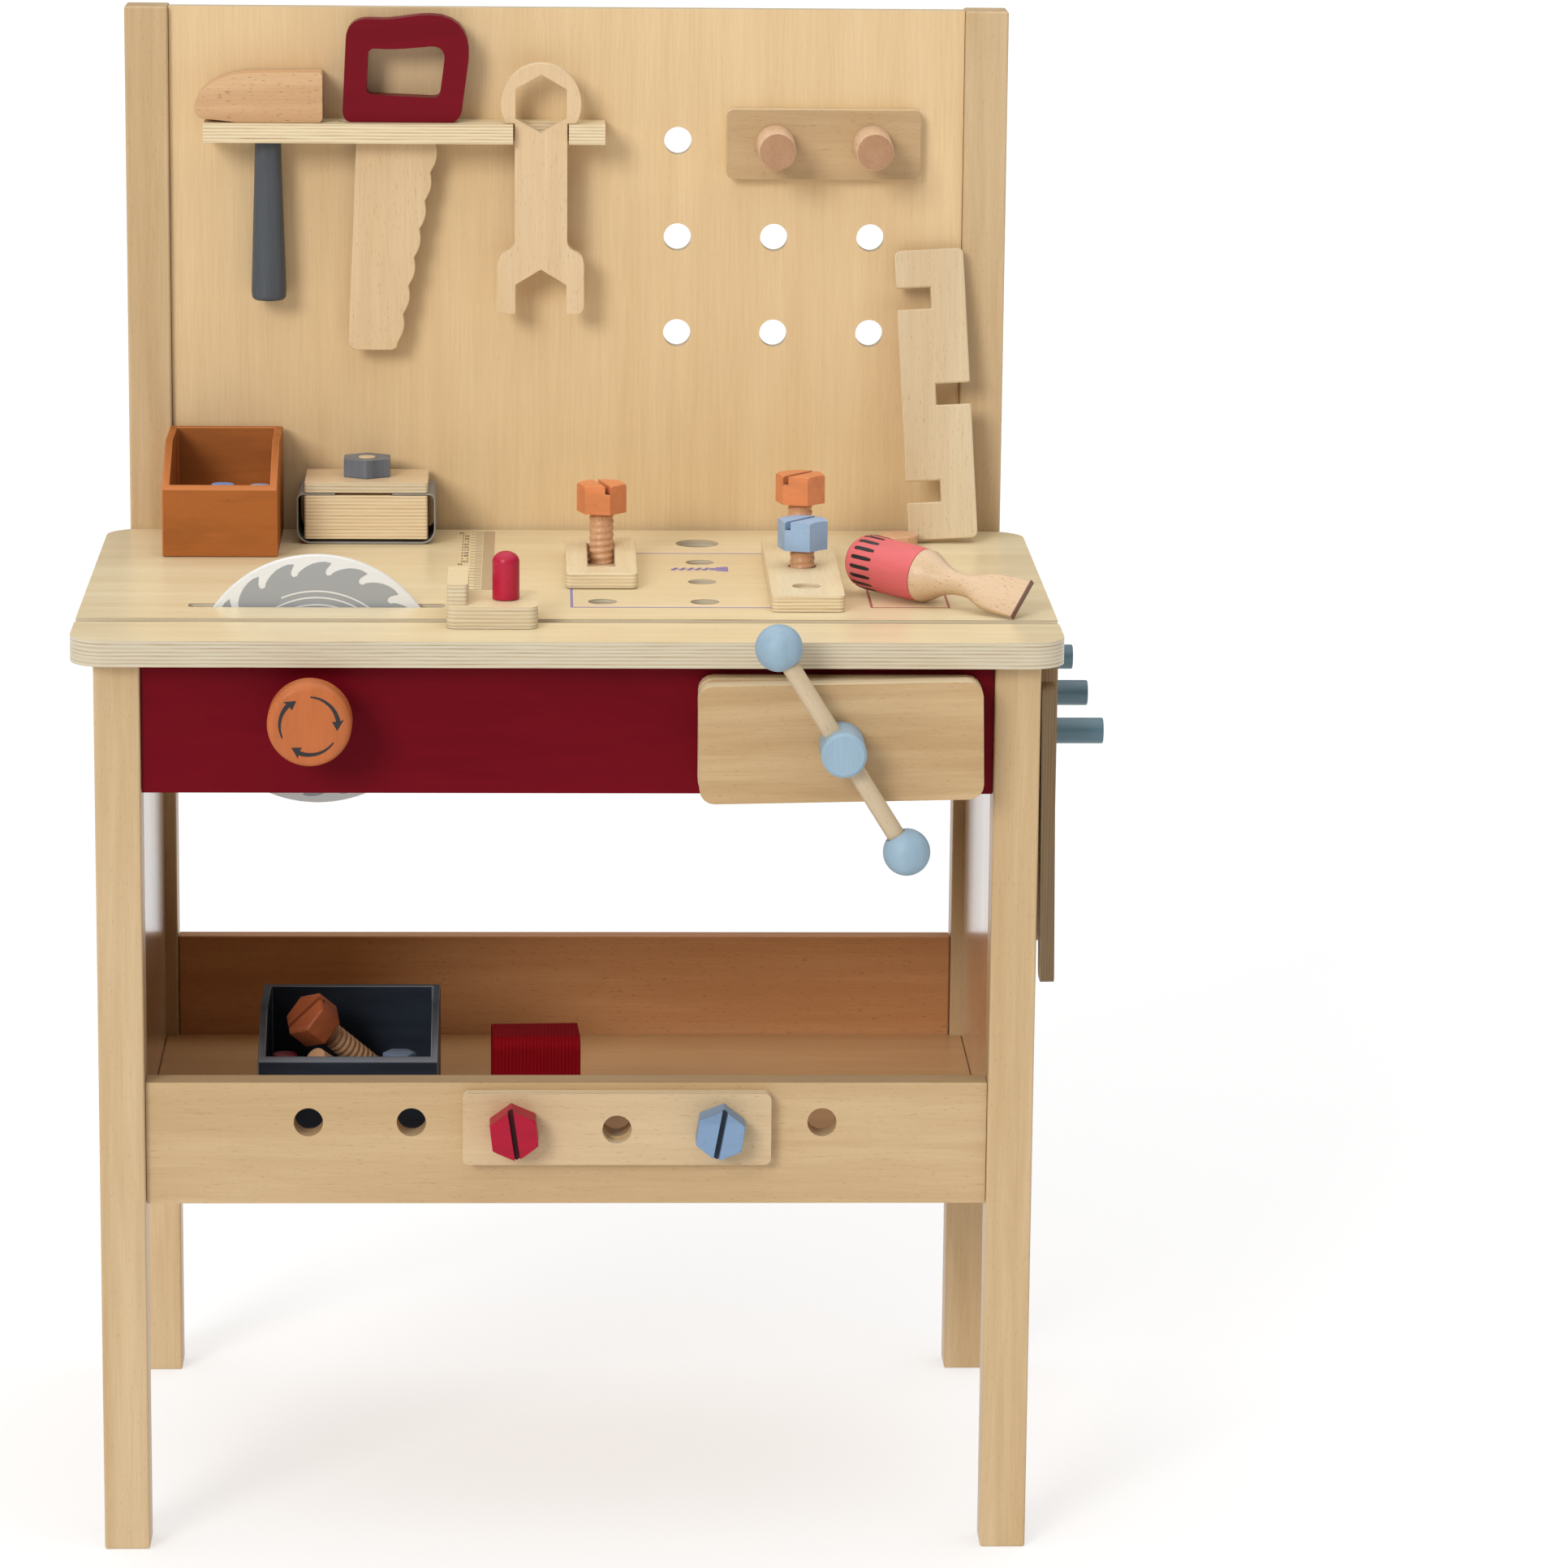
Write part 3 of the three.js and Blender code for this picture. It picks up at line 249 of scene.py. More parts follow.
# A plywood edge's colours, from its dark glue lines to its pale layers.
PLY_EDGE = ((0.0, (146, 112, 80)), (0.2, (184, 160, 126)), (0.4, (204, 186, 154)),
            (0.8, (216, 204, 178)))
FLECK_BROWN, END_BROWN = (0.42, 0.27, 0.15, 1), (0.55, 0.42, 0.33, 1)
RIB_PITCH = 0.0022              # metres, on the spare abrasive band
AXES = {"x": Vector((1, 0, 0)), "y": Vector((0, 1, 0)), "z": Vector((0, 0, 1))}
_made = {}


def wood_frame(g, grain, thick, centre):
    """Coordinates and the normal, along the grain, across it and through the board."""
    along = (AXES[grain] if isinstance(grain, str) else Vector(grain)).normalized()
    through = (AXES[thick] if isinstance(thick, str) else Vector(thick)).normalized()
    across = through.cross(along).normalized()
    turn = Matrix((along, across, through)).to_euler("XYZ")
    place = g.node("ShaderNodeMapping", Vector=g.coords.outputs["Object"])
    place.inputs["Rotation"].default_value = turn
    shift = Matrix((along, across, through)) @ Vector(centre)
    place.inputs["Location"].default_value = -shift
    normal = g.node("ShaderNodeMapping", Vector=g.coords.outputs["Normal"])
    normal.vector_type = "VECTOR"
    normal.inputs["Rotation"].default_value = turn
    return place.outputs[0], normal.outputs[0]


def wood(name, light, dark, grain="x", thick="z", centre=(0, 0, 0), plies=0.0, fleck=0.35,
         figure=0.5, gloss=0.36, seed=0.0, coat=0.06, end=0.0, edge_tint=(1, 1, 1)):
    """Lacquered timber. plies is a plywood layer's thickness in mm, or 0 for solid wood. fleck is
    the strength of its short dark marks and figure the contrast of its grain. end says how much
    darker the end grain is, and edge_tint colours a plywood board's edges."""
    key = (name, grain if isinstance(grain, str) else tuple(grain),
           thick if isinstance(thick, str) else tuple(thick), tuple(round(c, 4) for c in centre))
    if key in _made:
        return _made[key]
    g = Graph(name)
    at, normal = wood_frame(g, grain, thick, centre)
    moved = g.node("ShaderNodeVectorMath", i0=at, i1=(seed * 3.1, seed * 1.7, seed * 0.9))
    moved.operation = "ADD"
    at_seeded = moved.outputs[0]
    broad = g.noise(g.scaled(at_seeded, (2.6, 24, 24)), 3, 0.5, 0.7)
    bands = g.noise(g.scaled(at_seeded, (5, 105, 70)), 4, 0.6, 0.35)
    fibre = g.noise(g.scaled(at_seeded, (28, 900, 900)), 3, 0.6)
    specks = g.noise(g.scaled(at_seeded, (210, 1500, 1500)), 1, 0.5)
    body = g.math("ADD", g.math("MULTIPLY", broad, 0.55), g.math("MULTIPLY", bands, 0.45))
    spread = 0.28 / (0.4 + figure)
    tone = g.level(body, 0.5 - spread, 0.5 + spread)
    medium = tuple((a + b) / 2 for a, b in zip(linear(dark), linear(light)))
    face = g.ramp(tone, [(0.0, linear(dark)), (0.45, medium), (0.75, linear(light))])
    fine = g.ramp(g.level(fibre, 0.3, 0.7), [(0, (0.86, 0.84, 0.81)), (1, (1.0, 1.0, 1.0))])
    face = g.mix(0.55, face, fine, "MULTIPLY")
    marks = g.level(specks, 0.66, 0.74)
    face = g.mix(g.math("MULTIPLY", marks, fleck), face, FLECK_BROWN, "MULTIPLY")
    height = g.math("ADD", g.math("MULTIPLY", fibre, 0.6), g.math("MULTIPLY", marks, -0.5))
    sides = g.node("ShaderNodeSeparateXYZ", Vector=normal)
    if end:
        is_end = g.math("GREATER_THAN", g.math("ABSOLUTE", sides.outputs[0]), 0.8)
        face = g.mix(g.math("MULTIPLY", is_end, end), face, END_BROWN, "MULTIPLY")
    if plies:
        parts = g.node("ShaderNodeSeparateXYZ", Vector=at)
        wander = g.math("MULTIPLY", g.noise(g.scaled(at, (9, 9, 60)), 2), 0.0012)
        through = g.math("ADD", parts.outputs[2], wander)
        wave = g.math("SINE", g.math("MULTIPLY", through, 2 * math.pi / (plies * MM)))
        streak = g.noise(g.scaled(at, (26, 26, 1500)), 4, 0.65)
        patch = g.noise(g.scaled(at, (22, 22, 500)), 2)
        layers = g.math("MULTIPLY", g.math("MULTIPLY", wave, patch), 0.42)
        stripe = g.math("ADD", layers, streak)
        edge = g.ramp(g.level(stripe, 0.0, 1.0), [(stop, linear(c)) for stop, c in PLY_EDGE])
        edge = g.mix(1.0, edge, (*edge_tint, 1), "MULTIPLY")
        facing = g.math("ABSOLUTE", sides.outputs[2])
        on_edge = g.math("LESS_THAN", facing, 0.6)
        face = g.mix(on_edge, face, edge)
        ridges = g.math("MULTIPLY", g.math("MULTIPLY", stripe, on_edge), 0.8)
        height = g.math("ADD", height, ridges)
    g.put(g.shader.inputs["Base Color"], face)
    rough = g.math("ADD", g.math("MULTIPLY", broad, 0.16), gloss - 0.04)
    g.put(g.shader.inputs["Roughness"], rough)
    g.shader.inputs["Specular IOR Level"].default_value = 0.35
    g.shader.inputs["Coat Weight"].default_value = coat
    g.shader.inputs["Coat Roughness"].default_value = 0.2
    g.bump(height, 0.22, 0.00025)
    _made[key] = g.mat
    return g.mat


def painted(name, colour, dark=None, grain="x", thick="z", wear=0.35, gloss=0.34, vein=0.5,
            shine=0.22, rim=None, recess=None):
    """Stain or thin paint over wood: an even colour with the grain faintly raised under it, and a
    little of the wood showing in its pores. rim is a painted highlight, the lighter colour
    painted on edges and on faces off the axes, for pieces whose faces lie along the axes.
    recess is an axis and a level in metres: faces that look along the axis from below that
    level, such as a slot's floor, get painted shade."""
    key = (name, grain if isinstance(grain, str) else tuple(grain))
    if key in _made:
        return _made[key]
    g = Graph(name)
    at, _ = wood_frame(g, grain, thick, (0, 0, 0))
    broad = g.noise(g.scaled(at, (9, 60, 60)), 3, 0.55, 0.4)
    fibre = g.noise(g.scaled(at, (35, 850, 850)), 3, 0.65)
    pores = g.level(g.noise(g.scaled(at, (170, 1300, 1300)), 1), 0.68, 0.76)
    low = dark or dim(colour, 0.86)
    base = g.ramp(g.level(broad, 0.25, 0.75), [(0, linear(low)), (0.6, linear(colour))])
    fine = g.ramp(g.level(fibre, 0.3, 0.7), [(0, (0.88, 0.88, 0.88)), (1, (1.04, 1.04, 1.04))])
    base = g.mix(vein, base, fine, "MULTIPLY")
    base = g.mix(g.math("MULTIPLY", pores, wear), base, rgba(dim(colour, 0.55)))
    # painted highlight: edges and faces that don't lie along the axes are painted lighter
    if rim:
        parts = g.node("ShaderNodeSeparateXYZ", Vector=g.coords.outputs["Normal"])
        sizes = [g.math("ABSOLUTE", parts.outputs[k]) for k in range(3)]
        most = g.math("MAXIMUM", g.math("MAXIMUM", sizes[0], sizes[1]), sizes[2])
        edge_highlight_mask = g.level(g.math("ADD", most, g.math("MULTIPLY", broad, 0.06)), 1.0, 0.9)
        base = g.mix(edge_highlight_mask, base, rgba(rim))
    # painted shade: faces low in a slot that look out along the axis are painted darker
    if recess:
        axis, top = recess
        deep = g.math("LESS_THAN", g.dot(g.coords.outputs["Object"], axis), top)
        facing = g.math("GREATER_THAN", g.dot(g.coords.outputs["Normal"], axis), 0.8)
        slot_shade_mask = g.math("MULTIPLY", deep, facing)
        base = g.mix(slot_shade_mask, base, rgba(dim(colour, 0.4)))
    g.put(g.shader.inputs["Base Color"], base)
    g.put(g.shader.inputs["Roughness"], g.math("ADD", g.math("MULTIPLY", fibre, 0.14), gloss))
    g.shader.inputs["Specular IOR Level"].default_value = shine
    g.bump(g.math("SUBTRACT", fibre, g.math("MULTIPLY", pores, 0.6)), 0.2, 0.0002)
    _made[key] = g.mat
    return g.mat


def ink(name, colour, strength=1.0):
    """Printing ink on wood. Below full strength the fibres break it up."""
    if name in _made:
        return _made[name]
    g = Graph(name)
    at = g.coords.outputs["Object"]
    breaks = g.noise(g.scaled(at, (500, 1600, 1600)), 2)
    base = g.mix(g.math("MULTIPLY", g.level(breaks, 0.45, 0.75), 1 - strength), rgba(colour),
                 rgba((226, 198, 152)))
    g.put(g.shader.inputs["Base Color"], base)
    g.put(g.shader.inputs["Roughness"], g.math("ADD", g.math("MULTIPLY", breaks, 0.2), 0.35))
    g.bump(breaks, 0.1, 0.0001)
    _made[name] = g.mat
    return g.mat


def abrasive(name, colour, dark, ribs=False):
    """Grit glued on paper, with fine ribs across it if asked."""
    g = Graph(name)
    at = g.coords.outputs["Object"]
    grit = g.noise(g.scaled(at, (2600, 2600, 2600)), 3, 0.7)
    patches = g.noise(g.scaled(at, (60, 60, 60)), 2)
    base = g.ramp(g.level(grit, 0.3, 0.7), [(0, linear(dark)), (1, linear(colour))])
    base = g.mix(g.math("MULTIPLY", patches, 0.25), base, rgba(dark))
    height = grit
    if ribs:
        parts = g.node("ShaderNodeSeparateXYZ", Vector=at)
        wave = g.math("SINE", g.math("MULTIPLY", parts.outputs[0], 2 * math.pi / RIB_PITCH))
        height = g.math("ADD", grit, wave)
    g.put(g.shader.inputs["Base Color"], base)
    g.put(g.shader.inputs["Roughness"], g.math("ADD", g.math("MULTIPLY", grit, 0.2), 0.72))
    g.shader.inputs["Specular IOR Level"].default_value = 0.12
    g.bump(height, 0.5, 0.0004)
    return g.mat


# -------- mesh helpers
def add_piece(name, mesh, material, body, replaces=()):
    obj = bpy.data.objects.new(name, mesh)
    bpy.context.scene.collection.objects.link(obj)
    mesh.materials.clear()
    mesh.materials.append(material)
    if replaces:
        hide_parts(*replaces)
    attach(obj, body)
    return obj


def shade(mesh, angle=32):
    mesh.polygons.foreach_set("use_smooth", [True] * len(mesh.polygons))
    mesh.set_sharp_from_angle(angle=math.radians(angle))


def even_normals(obj):
    """Large flat faces keep flat shading beside small rounded edges."""
    mod = obj.modifiers.new("normals", "WEIGHTED_NORMAL")
    mod.keep_sharp = True
    mod.weight = 60


def softened(node, material, width=0.7, steps=2, angle=30):
    """A node's own solid with its edges rounded by width in mm. Edges that bend by more than
    angle are rounded."""
    mesh = frame["nodes"][node].data.copy()
    mesh.name = node + "_finished"
    bm = bmesh.new()
    bm.from_mesh(mesh)
    bmesh.ops.remove_doubles(bm, verts=bm.verts, dist=1e-6)
    bmesh.ops.dissolve_limit(bm, angle_limit=math.radians(0.6), verts=bm.verts, edges=bm.edges)
    limit = math.radians(angle)
    edges = [e for e in bm.edges if len(e.link_faces) == 2 and e.calc_face_angle(0) > limit]
    bmesh.ops.bevel(bm, geom=edges, offset=width * MM, offset_type="OFFSET", segments=steps,
                    profile=0.5, affect="EDGES", clamp_overlap=True)
    bm.to_mesh(mesh)
    bm.free()
    shade(mesh)
    obj = add_piece(node + "_finished", mesh, material, BODY_OF[node], (node,))
    even_normals(obj)
    return obj


def ring_mesh(name, rows):
    """A closed skin through rows of points. Each row has the same number of points, in metres."""
    count = len(rows[0])
    verts = [p for row in rows for p in row]
    faces = []
    for r in range(len(rows) - 1):
        for k in range(count):
            n = (k + 1) % count
            faces.append((r * count + k, r * count + n, (r + 1) * count + n, (r + 1) * count + k))
    faces.append(tuple(range(count))[::-1])
    faces.append(tuple((len(rows) - 1) * count + k for k in range(count)))
    mesh = bpy.data.meshes.new(name)
    mesh.from_pydata([tuple(v) for v in verts], [], faces)
    bm = bmesh.new()
    bm.from_mesh(mesh)
    bmesh.ops.recalc_face_normals(bm, faces=bm.faces)
    bm.to_mesh(mesh)
    bm.free()
    return mesh


def frame_along(at, direction):
    """A matrix whose Z runs along direction from a point given in mm."""
    z = Vector(direction).normalized()
    helper = Vector((0, 0, 1)) if abs(z.z) < 0.9 else Vector((0, -1, 0))
    x = helper.cross(z).normalized()
    y = z.cross(x)
    turn = Matrix((x, y, z)).transposed().to_4x4()
    return Matrix.Translation(spot(*at)) @ turn


def rounded(profile, radius=0.8, steps=3):
    """The corners of a turned profile rounded off. Points are [radius, height] in mm."""
    out = [profile[0]]
    for before, here, after in zip(profile, profile[1:], profile[2:]):
        p, a, b = Vector(here), Vector(before), Vector(after)
        la, lb = (a - p).length, (b - p).length
        bend = (p - a).angle(b - p, 0) if la and lb else 0
        if bend < math.radians(25):
            out.append(tuple(here))
            continue
        cut = min(radius, la * 0.45, lb * 0.45)
        start, end = p + (a - p).normalized() * cut, p + (b - p).normalized() * cut
        for k in range(steps + 1):
            t = k / steps
            q = start * (1 - t) ** 2 + p * 2 * t * (1 - t) + end * t * t
            out.append((q.x, q.y))
    out.append(profile[-1])
    return out


def cylinder(radius, length):
    """A plain bar's profile for turned()."""
    return [(0, 0), (radius, 0), (radius, length), (0, length)]


def middle_of(lo, hi, **fixed):
    """The middle of a box, with any of its x, y or z set to something else."""
    return tuple(fixed.get(k, (getattr(lo, k) + getattr(hi, k)) / 2) for k in "xyz")


def turned(name, profile, at, direction, material, body, replaces=(), segments=56,
           soften=0.8):
    """A lathe-turned piece. profile runs from one end to the other as [radius, height] in mm."""
    matrix = frame_along(at, direction)
    rows = []
    for radius, height in rounded(profile, soften):
        r = max(radius, 0.05)
        rows.append([matrix @ (Vector((r * math.cos(a), r * math.sin(a), height)) * MM)
                     for a in (2 * math.pi * k / segments for k in range(segments))])
    mesh = ring_mesh(name, rows)
    shade(mesh, 40)
    return add_piece(name, mesh, material, body, replaces)


def thread(name, radius, depth, pitch, low, high, at, direction, material, body, slot,
           replaces=(), segments=40, steps=8):
    """A round bar with a soft helical thread, closed at both ends."""
    matrix = frame_along(at, direction)
    count = max(2, int((high - low) / pitch * steps))
    rows = []
    for j in range(count + 1):
        height = low + (high - low) * j / count
        fade = min(1, (height - low) / 1.5, (high - height) / 1.5)
        row = []
        for k in range(segments):
            a = 2 * math.pi * k / segments
            wave = 0.5 - 0.5 * math.cos(2 * math.pi * (height / pitch - k / segments))
            r = radius - depth * (1 - wave ** 0.8 * fade)
            row.append(matrix @ (Vector((r * math.cos(a), r * math.sin(a), height)) * MM))
        rows.append(row)
    mesh = ring_mesh(name, rows)
    shade(mesh, 60)
    return add_piece(name, mesh, material, body, replaces)


def flat_shapes(name, outlines, lift, material, body, thick=0.12):
    """Thin flat shapes, such as print. lift(u, v, h) gives the frame's point h mm above a face."""
    bm = bmesh.new()
    for outline in outlines:
        low = [bm.verts.new(lift(u, v, 0.02)) for u, v in outline]
        high = [bm.verts.new(lift(u, v, 0.02 + thick)) for u, v in outline]
        bm.faces.new(low)
        bm.faces.new(high[::-1])
        for k in range(len(outline)):
            n = (k + 1) % len(outline)
            bm.faces.new((low[k], high[k], high[n], low[n]))
    bmesh.ops.recalc_face_normals(bm, faces=bm.faces)
    mesh = bpy.data.meshes.new(name)
    bm.to_mesh(mesh)
    bm.free()
    return add_piece(name, mesh, material, body)


def on_worktop(u, v, h):
    return spot(u, v, TOP_Z + h)


def rectangle(x0, x1, y0, y1):
    return [(x0, y0), (x1, y0), (x1, y1), (x0, y1)]


def frame_outline(x0, x1, y0, y1, line):
    """Four strips that make a rectangle's outline."""
    return [rectangle(x0, x1, y0, y0 + line), rectangle(x0, x1, y1 - line, y1),
            rectangle(x0, x0 + line, y0 + line, y1 - line),
            rectangle(x1 - line, x1, y0 + line, y1 - line)]


# -------- colours, sRGB
PLY_LIGHT, PLY_DARK = (231, 215, 178), (216, 194, 150)
JAW_LIGHT, JAW_DARK = (199, 169, 127), (173, 139, 95)
PANEL_LIGHT, PANEL_DARK = (225, 197, 153), (214, 182, 136)
LEG_LIGHT, LEG_DARK = (204, 178, 139), (187, 155, 111)
RAIL_LIGHT, RAIL_DARK = (200, 172, 132), (184, 152, 109)
BEECH_LIGHT, BEECH_DARK = (222, 178, 140), (200, 150, 110)
PALE_LIGHT, PALE_DARK = (226, 201, 165), (210, 179, 137)
BURGUNDY = (106, 7, 22)
ORANGE = (185, 103, 56)
BOLT_ORANGE = (224, 138, 88)
BLUE = (146, 171, 188)
BOLT_BLUE = (152, 180, 212)
MAGENTA = (182, 20, 56)
SLATE = (112, 118, 127)
TEAL = (86, 117, 132)
TERRACOTTA = (167, 98, 47)
CORAL = (217, 106, 108)
# painted highlight: this tint lightens plywood edges where they catch the light
EDGE_HIGHLIGHT = (1.14, 1.11, 1.05)
INK_BLACK = (26, 22, 24)
INK_PURPLE = (126, 112, 176)
INK_RED = (160, 84, 74)
INK_GREY = (160, 163, 166)


def centre_of(node):
    lo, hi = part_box(node)
    return (lo + hi) / 2


def ply_for(node, grain, thick, light=PLY_LIGHT, dark=PLY_DARK, plies=1.9, **more):
    return wood(node + "_wood", light, dark, grain, thick, centre_of(node), plies, **more)


# -------- the bench itself
def finish_bench():
    for k, node in enumerate(("leg_front_left", "leg_front_right", "post_rear_left",
                              "post_rear_right")):
        mat = wood(node + "_wood", LEG_LIGHT, LEG_DARK, "z", "y", centre_of(node), 0, 0.3, 0.9,
                   seed=k + 1.3)
        softened(node, mat, 1.6, 3)
    for k, node in enumerate(("side_panel_left", "side_panel_right")):
        softened(node, ply_for(node, "z", "x", (223, 191, 157), (205, 168, 130), figure=0.4,
                               gloss=0.16, coat=0.7, seed=k + 5.1), 0.8)
    softened("back_panel", ply_for("back_panel", "z", "y", PANEL_LIGHT, PANEL_DARK, 1.6,
                                   fleck=0.1, figure=0.5, seed=2.2), 0.6)
    softened("worktop", ply_for("worktop", "x", "z", PLY_LIGHT, PLY_DARK, 2.3, fleck=0.2,
                                figure=0.6, gloss=0.27, seed=7.7,
                                edge_tint=(0.88, 0.91, 0.96)), 1.4, 3)
    softened("apron_front", painted("apron_paint", BURGUNDY, (98, 5, 20), "x", "y", 0.15,
                                    shine=0.06), 0.9)
    front = wood("front_rail_wood", RAIL_LIGHT, RAIL_DARK, "x", "y",
                 centre_of("shelf_front_rail"), 0, 0.3, 0.7, seed=11.9)
    softened("shelf_front_rail", front, 1.4, 3)
    back = wood("back_rail_wood", (202, 150, 103), (184, 128, 82), "x", "y",
                centre_of("shelf_back_rail"), 0, 0.5, 0.7, seed=12.9)
    softened("shelf_back_rail", back, 1.4, 3)
    softened("shelf_board", ply_for("shelf_board", "x", "z", (214, 175, 129), (199, 156, 109),
                                    figure=0.5, gloss=0.26, seed=9.4), 0.6)
    # painted highlight: the rack's edges are lightened by their tint
    softened("tool_rack", ply_for("tool_rack", "x", "z", plies=2.1, figure=0.4, seed=3.1,
                                  edge_tint=(1.12, 1.1, 1.04)), 0.7)
    # painted shade: the peg board's edges are darkened by their tint
    softened("peg_board", ply_for("peg_board", "z", "x", plies=2.1, seed=4.4,
                                  edge_tint=(0.55, 0.42, 0.3)), 1.0)
    # painted shade: the gauge bar's edges are darkened by their tint
    softened("gauge_bar", ply_for("gauge_bar", "z", "x", plies=1.7, seed=8.3,
                                  edge_tint=(0.24, 0.18, 0.12)), 0.8)
    softened("saw_bearing_block", wood("bearing_wood", BEECH_LIGHT, BEECH_DARK, "x", "y",
                                       centre_of("saw_bearing_block")), 1.0)


def finish_pegs():
    teal = painted("teal_stain", TEAL, dim(TEAL, 0.8), "x", "z", 0.3, 0.3, shine=0.5)
    for node in ("side_peg_front", "side_peg_middle", "side_peg_rear"):
        lo, hi = local_box(node)
        radius = (hi.y - lo.y) / 2
        turned(node + "_finished", cylinder(radius, hi.x - lo.x), middle_of(lo, hi, x=lo.x),
               (1, 0, 0), teal, "bench", (node,), soften=1.0)
    lo, hi = local_box("hang_pin")
    radius = (hi.y - lo.y) / 2
    turned("hang_pin_finished", cylinder(radius, hi.x - lo.x), middle_of(lo, hi, x=lo.x),
           (1, 0, 0), wood("hang_pin_wood", BEECH_LIGHT, BEECH_DARK, "x", "z"), "bench",
           ("hang_pin",), 32, 0.6)


# -------- tabletop saw
TEETH, FIRST_TOOTH = 20, 7.3
# One tooth's outline as degrees round the disc and radius.
TOOTH = ((0, 73.6), (-2.2, 69.5), (-2.6, 67.5), (-1.7, 65.8), (0.2, 66.0), (1.5, 68.0),
         (3.7, 69.8), (6, 71.3), (8.8, 72.8), (12, 73.8), (15, 74.2))
# Arcs printed inside the teeth: radius, and the degrees where they begin and end.
ARCS = ((56, -23, 60), (52, -60, 60), (47.5, -60, 60),
        (56, 157, 240), (52, 120, 240), (47.5, 120, 240))
ARC_LINE, ARC_STEPS = 0.9, 30
# Three arrows round the knob: the degrees of each tail and tip.
ARROWS = ((205, 116), (87, -10), (-35, -129))
ARROW_RADIUS, ARROW_HEAD, ARROW_STEPS = 17.6, 19, 18
BARB_OUT, BARB_IN, ARROW_POINT = 21.2, 13.9, 17.0


def blade_outline():
    outline = []
    for k in range(TEETH):
        for turn, r in TOOTH:
            a = math.radians(FIRST_TOOTH + 360 / TEETH * k + turn)
            outline.append((r * math.sin(a), r * math.cos(a)))
    return outline


def arc_outlines():
    shapes = []
    for r, a0, a1 in ARCS:
        angles = [math.radians(a0 + (a1 - a0) * j / ARC_STEPS) for j in range(ARC_STEPS + 1)]
        inside = r - ARC_LINE
        outer = [(r * math.sin(t), r * math.cos(t)) for t in angles]
        inner = [(inside * math.sin(t), inside * math.cos(t)) for t in angles[::-1]]
        shapes.append(outer + inner)
    return shapes


def around(radius, angle):
    return radius * math.cos(angle), radius * math.sin(angle)


def arrow_outlines():
    shapes = []
    for tail, tip in ARROWS:
        neck = tip + ARROW_HEAD
        outer, inner = [], []
        for j in range(ARROW_STEPS + 1):
            t = j / ARROW_STEPS
            a = math.radians(tail + (neck - tail) * t)
            half = 0.45 + 0.95 * t
            outer.append(around(ARROW_RADIUS + half, a))
            inner.append(around(ARROW_RADIUS - half, a))
        barb = math.radians(neck) + 0.03
        head = [around(BARB_OUT, barb), around(ARROW_POINT, math.radians(tip)),
                around(BARB_IN, barb)]
        shapes.append(outer + head + inner[::-1])
    return shapes


def finish_saw():
    lo, hi = local_box("saw_disc")
    radius, front, back = (hi.x - lo.x) / 2, lo.y, hi.y
    cx, _, cz = middle_of(lo, hi)
    white = painted("disc_paint", (228, 228, 227), (220, 220, 218), "x", "y", 0.1, 0.42, 0.25)
    turned("saw_disc_finished", cylinder(radius, back - front), (cx, front, cz), (0, 1, 0), white,
           "saw", ("saw_disc",), 96, 0.8)

    def on_front(u, v, h):
        return spot(cx + u, front - h, cz + v)

    def on_back(u, v, h):
        return spot(cx + u, back + h, cz + v)

    grey = ink("blade_ink", INK_GREY)
    white_ink = ink("blade_line_ink", (230, 230, 228))
    for side, lift in (("front", on_front), ("back", on_back)):
        flat_shapes(f"saw_print_{side}", [blade_outline()], lift, grey, "saw")
        flat_shapes(f"saw_lines_{side}", arc_outlines(),
                    lambda u, v, h, lift=lift: lift(u, v, h + 0.13), white_ink, "saw",
                    0.08)

    lo, hi = local_box("saw_knob")
    radius, deep = (hi.x - lo.x) / 2, hi.y - lo.y
    orange = painted("knob_paint", ORANGE, dim(ORANGE, 0.9), "z", "y", 0.35, 0.36)
    edge = 4.5
    profile = [(0, 0), (radius - 1.2, 0), (radius, 1.2), (radius, deep - edge)]
    profile += [(radius - edge + edge * math.cos(t), deep - edge + edge * math.sin(t))
                for t in (math.pi * k / 16 for k in range(1, 9))]
    turned("saw_knob_finished", profile + [(0, deep)], (cx, hi.y, cz), (0, -1, 0), orange, "saw",
           ("saw_knob",), 72, 0.4)
    flat_shapes("saw_knob_arrows", arrow_outlines(),
                lambda u, v, h: spot(cx + u, lo.y - h, cz + v), ink("arrow_ink", INK_BLACK),
                "saw", 0.1)
    axle_lo, axle_hi = local_box("saw_axle")
    radius = (axle_hi.x - axle_lo.x) / 2
    turned("saw_axle_finished", cylinder(radius, axle_hi.y - axle_lo.y), (cx, axle_lo.y, cz),
           (0, 1, 0), wood("axle_wood", BEECH_LIGHT, BEECH_DARK, "y", "z"), "saw",
           ("saw_axle",), 48)


# -------- vise
JAW_TILT = 1.2                  # degrees, the moving jaw's play
SCREW_THREAD = (1.5, 10)        # depth and pitch
ROD_RADIUS, ROD_INTO_BALL = 5.5, 7


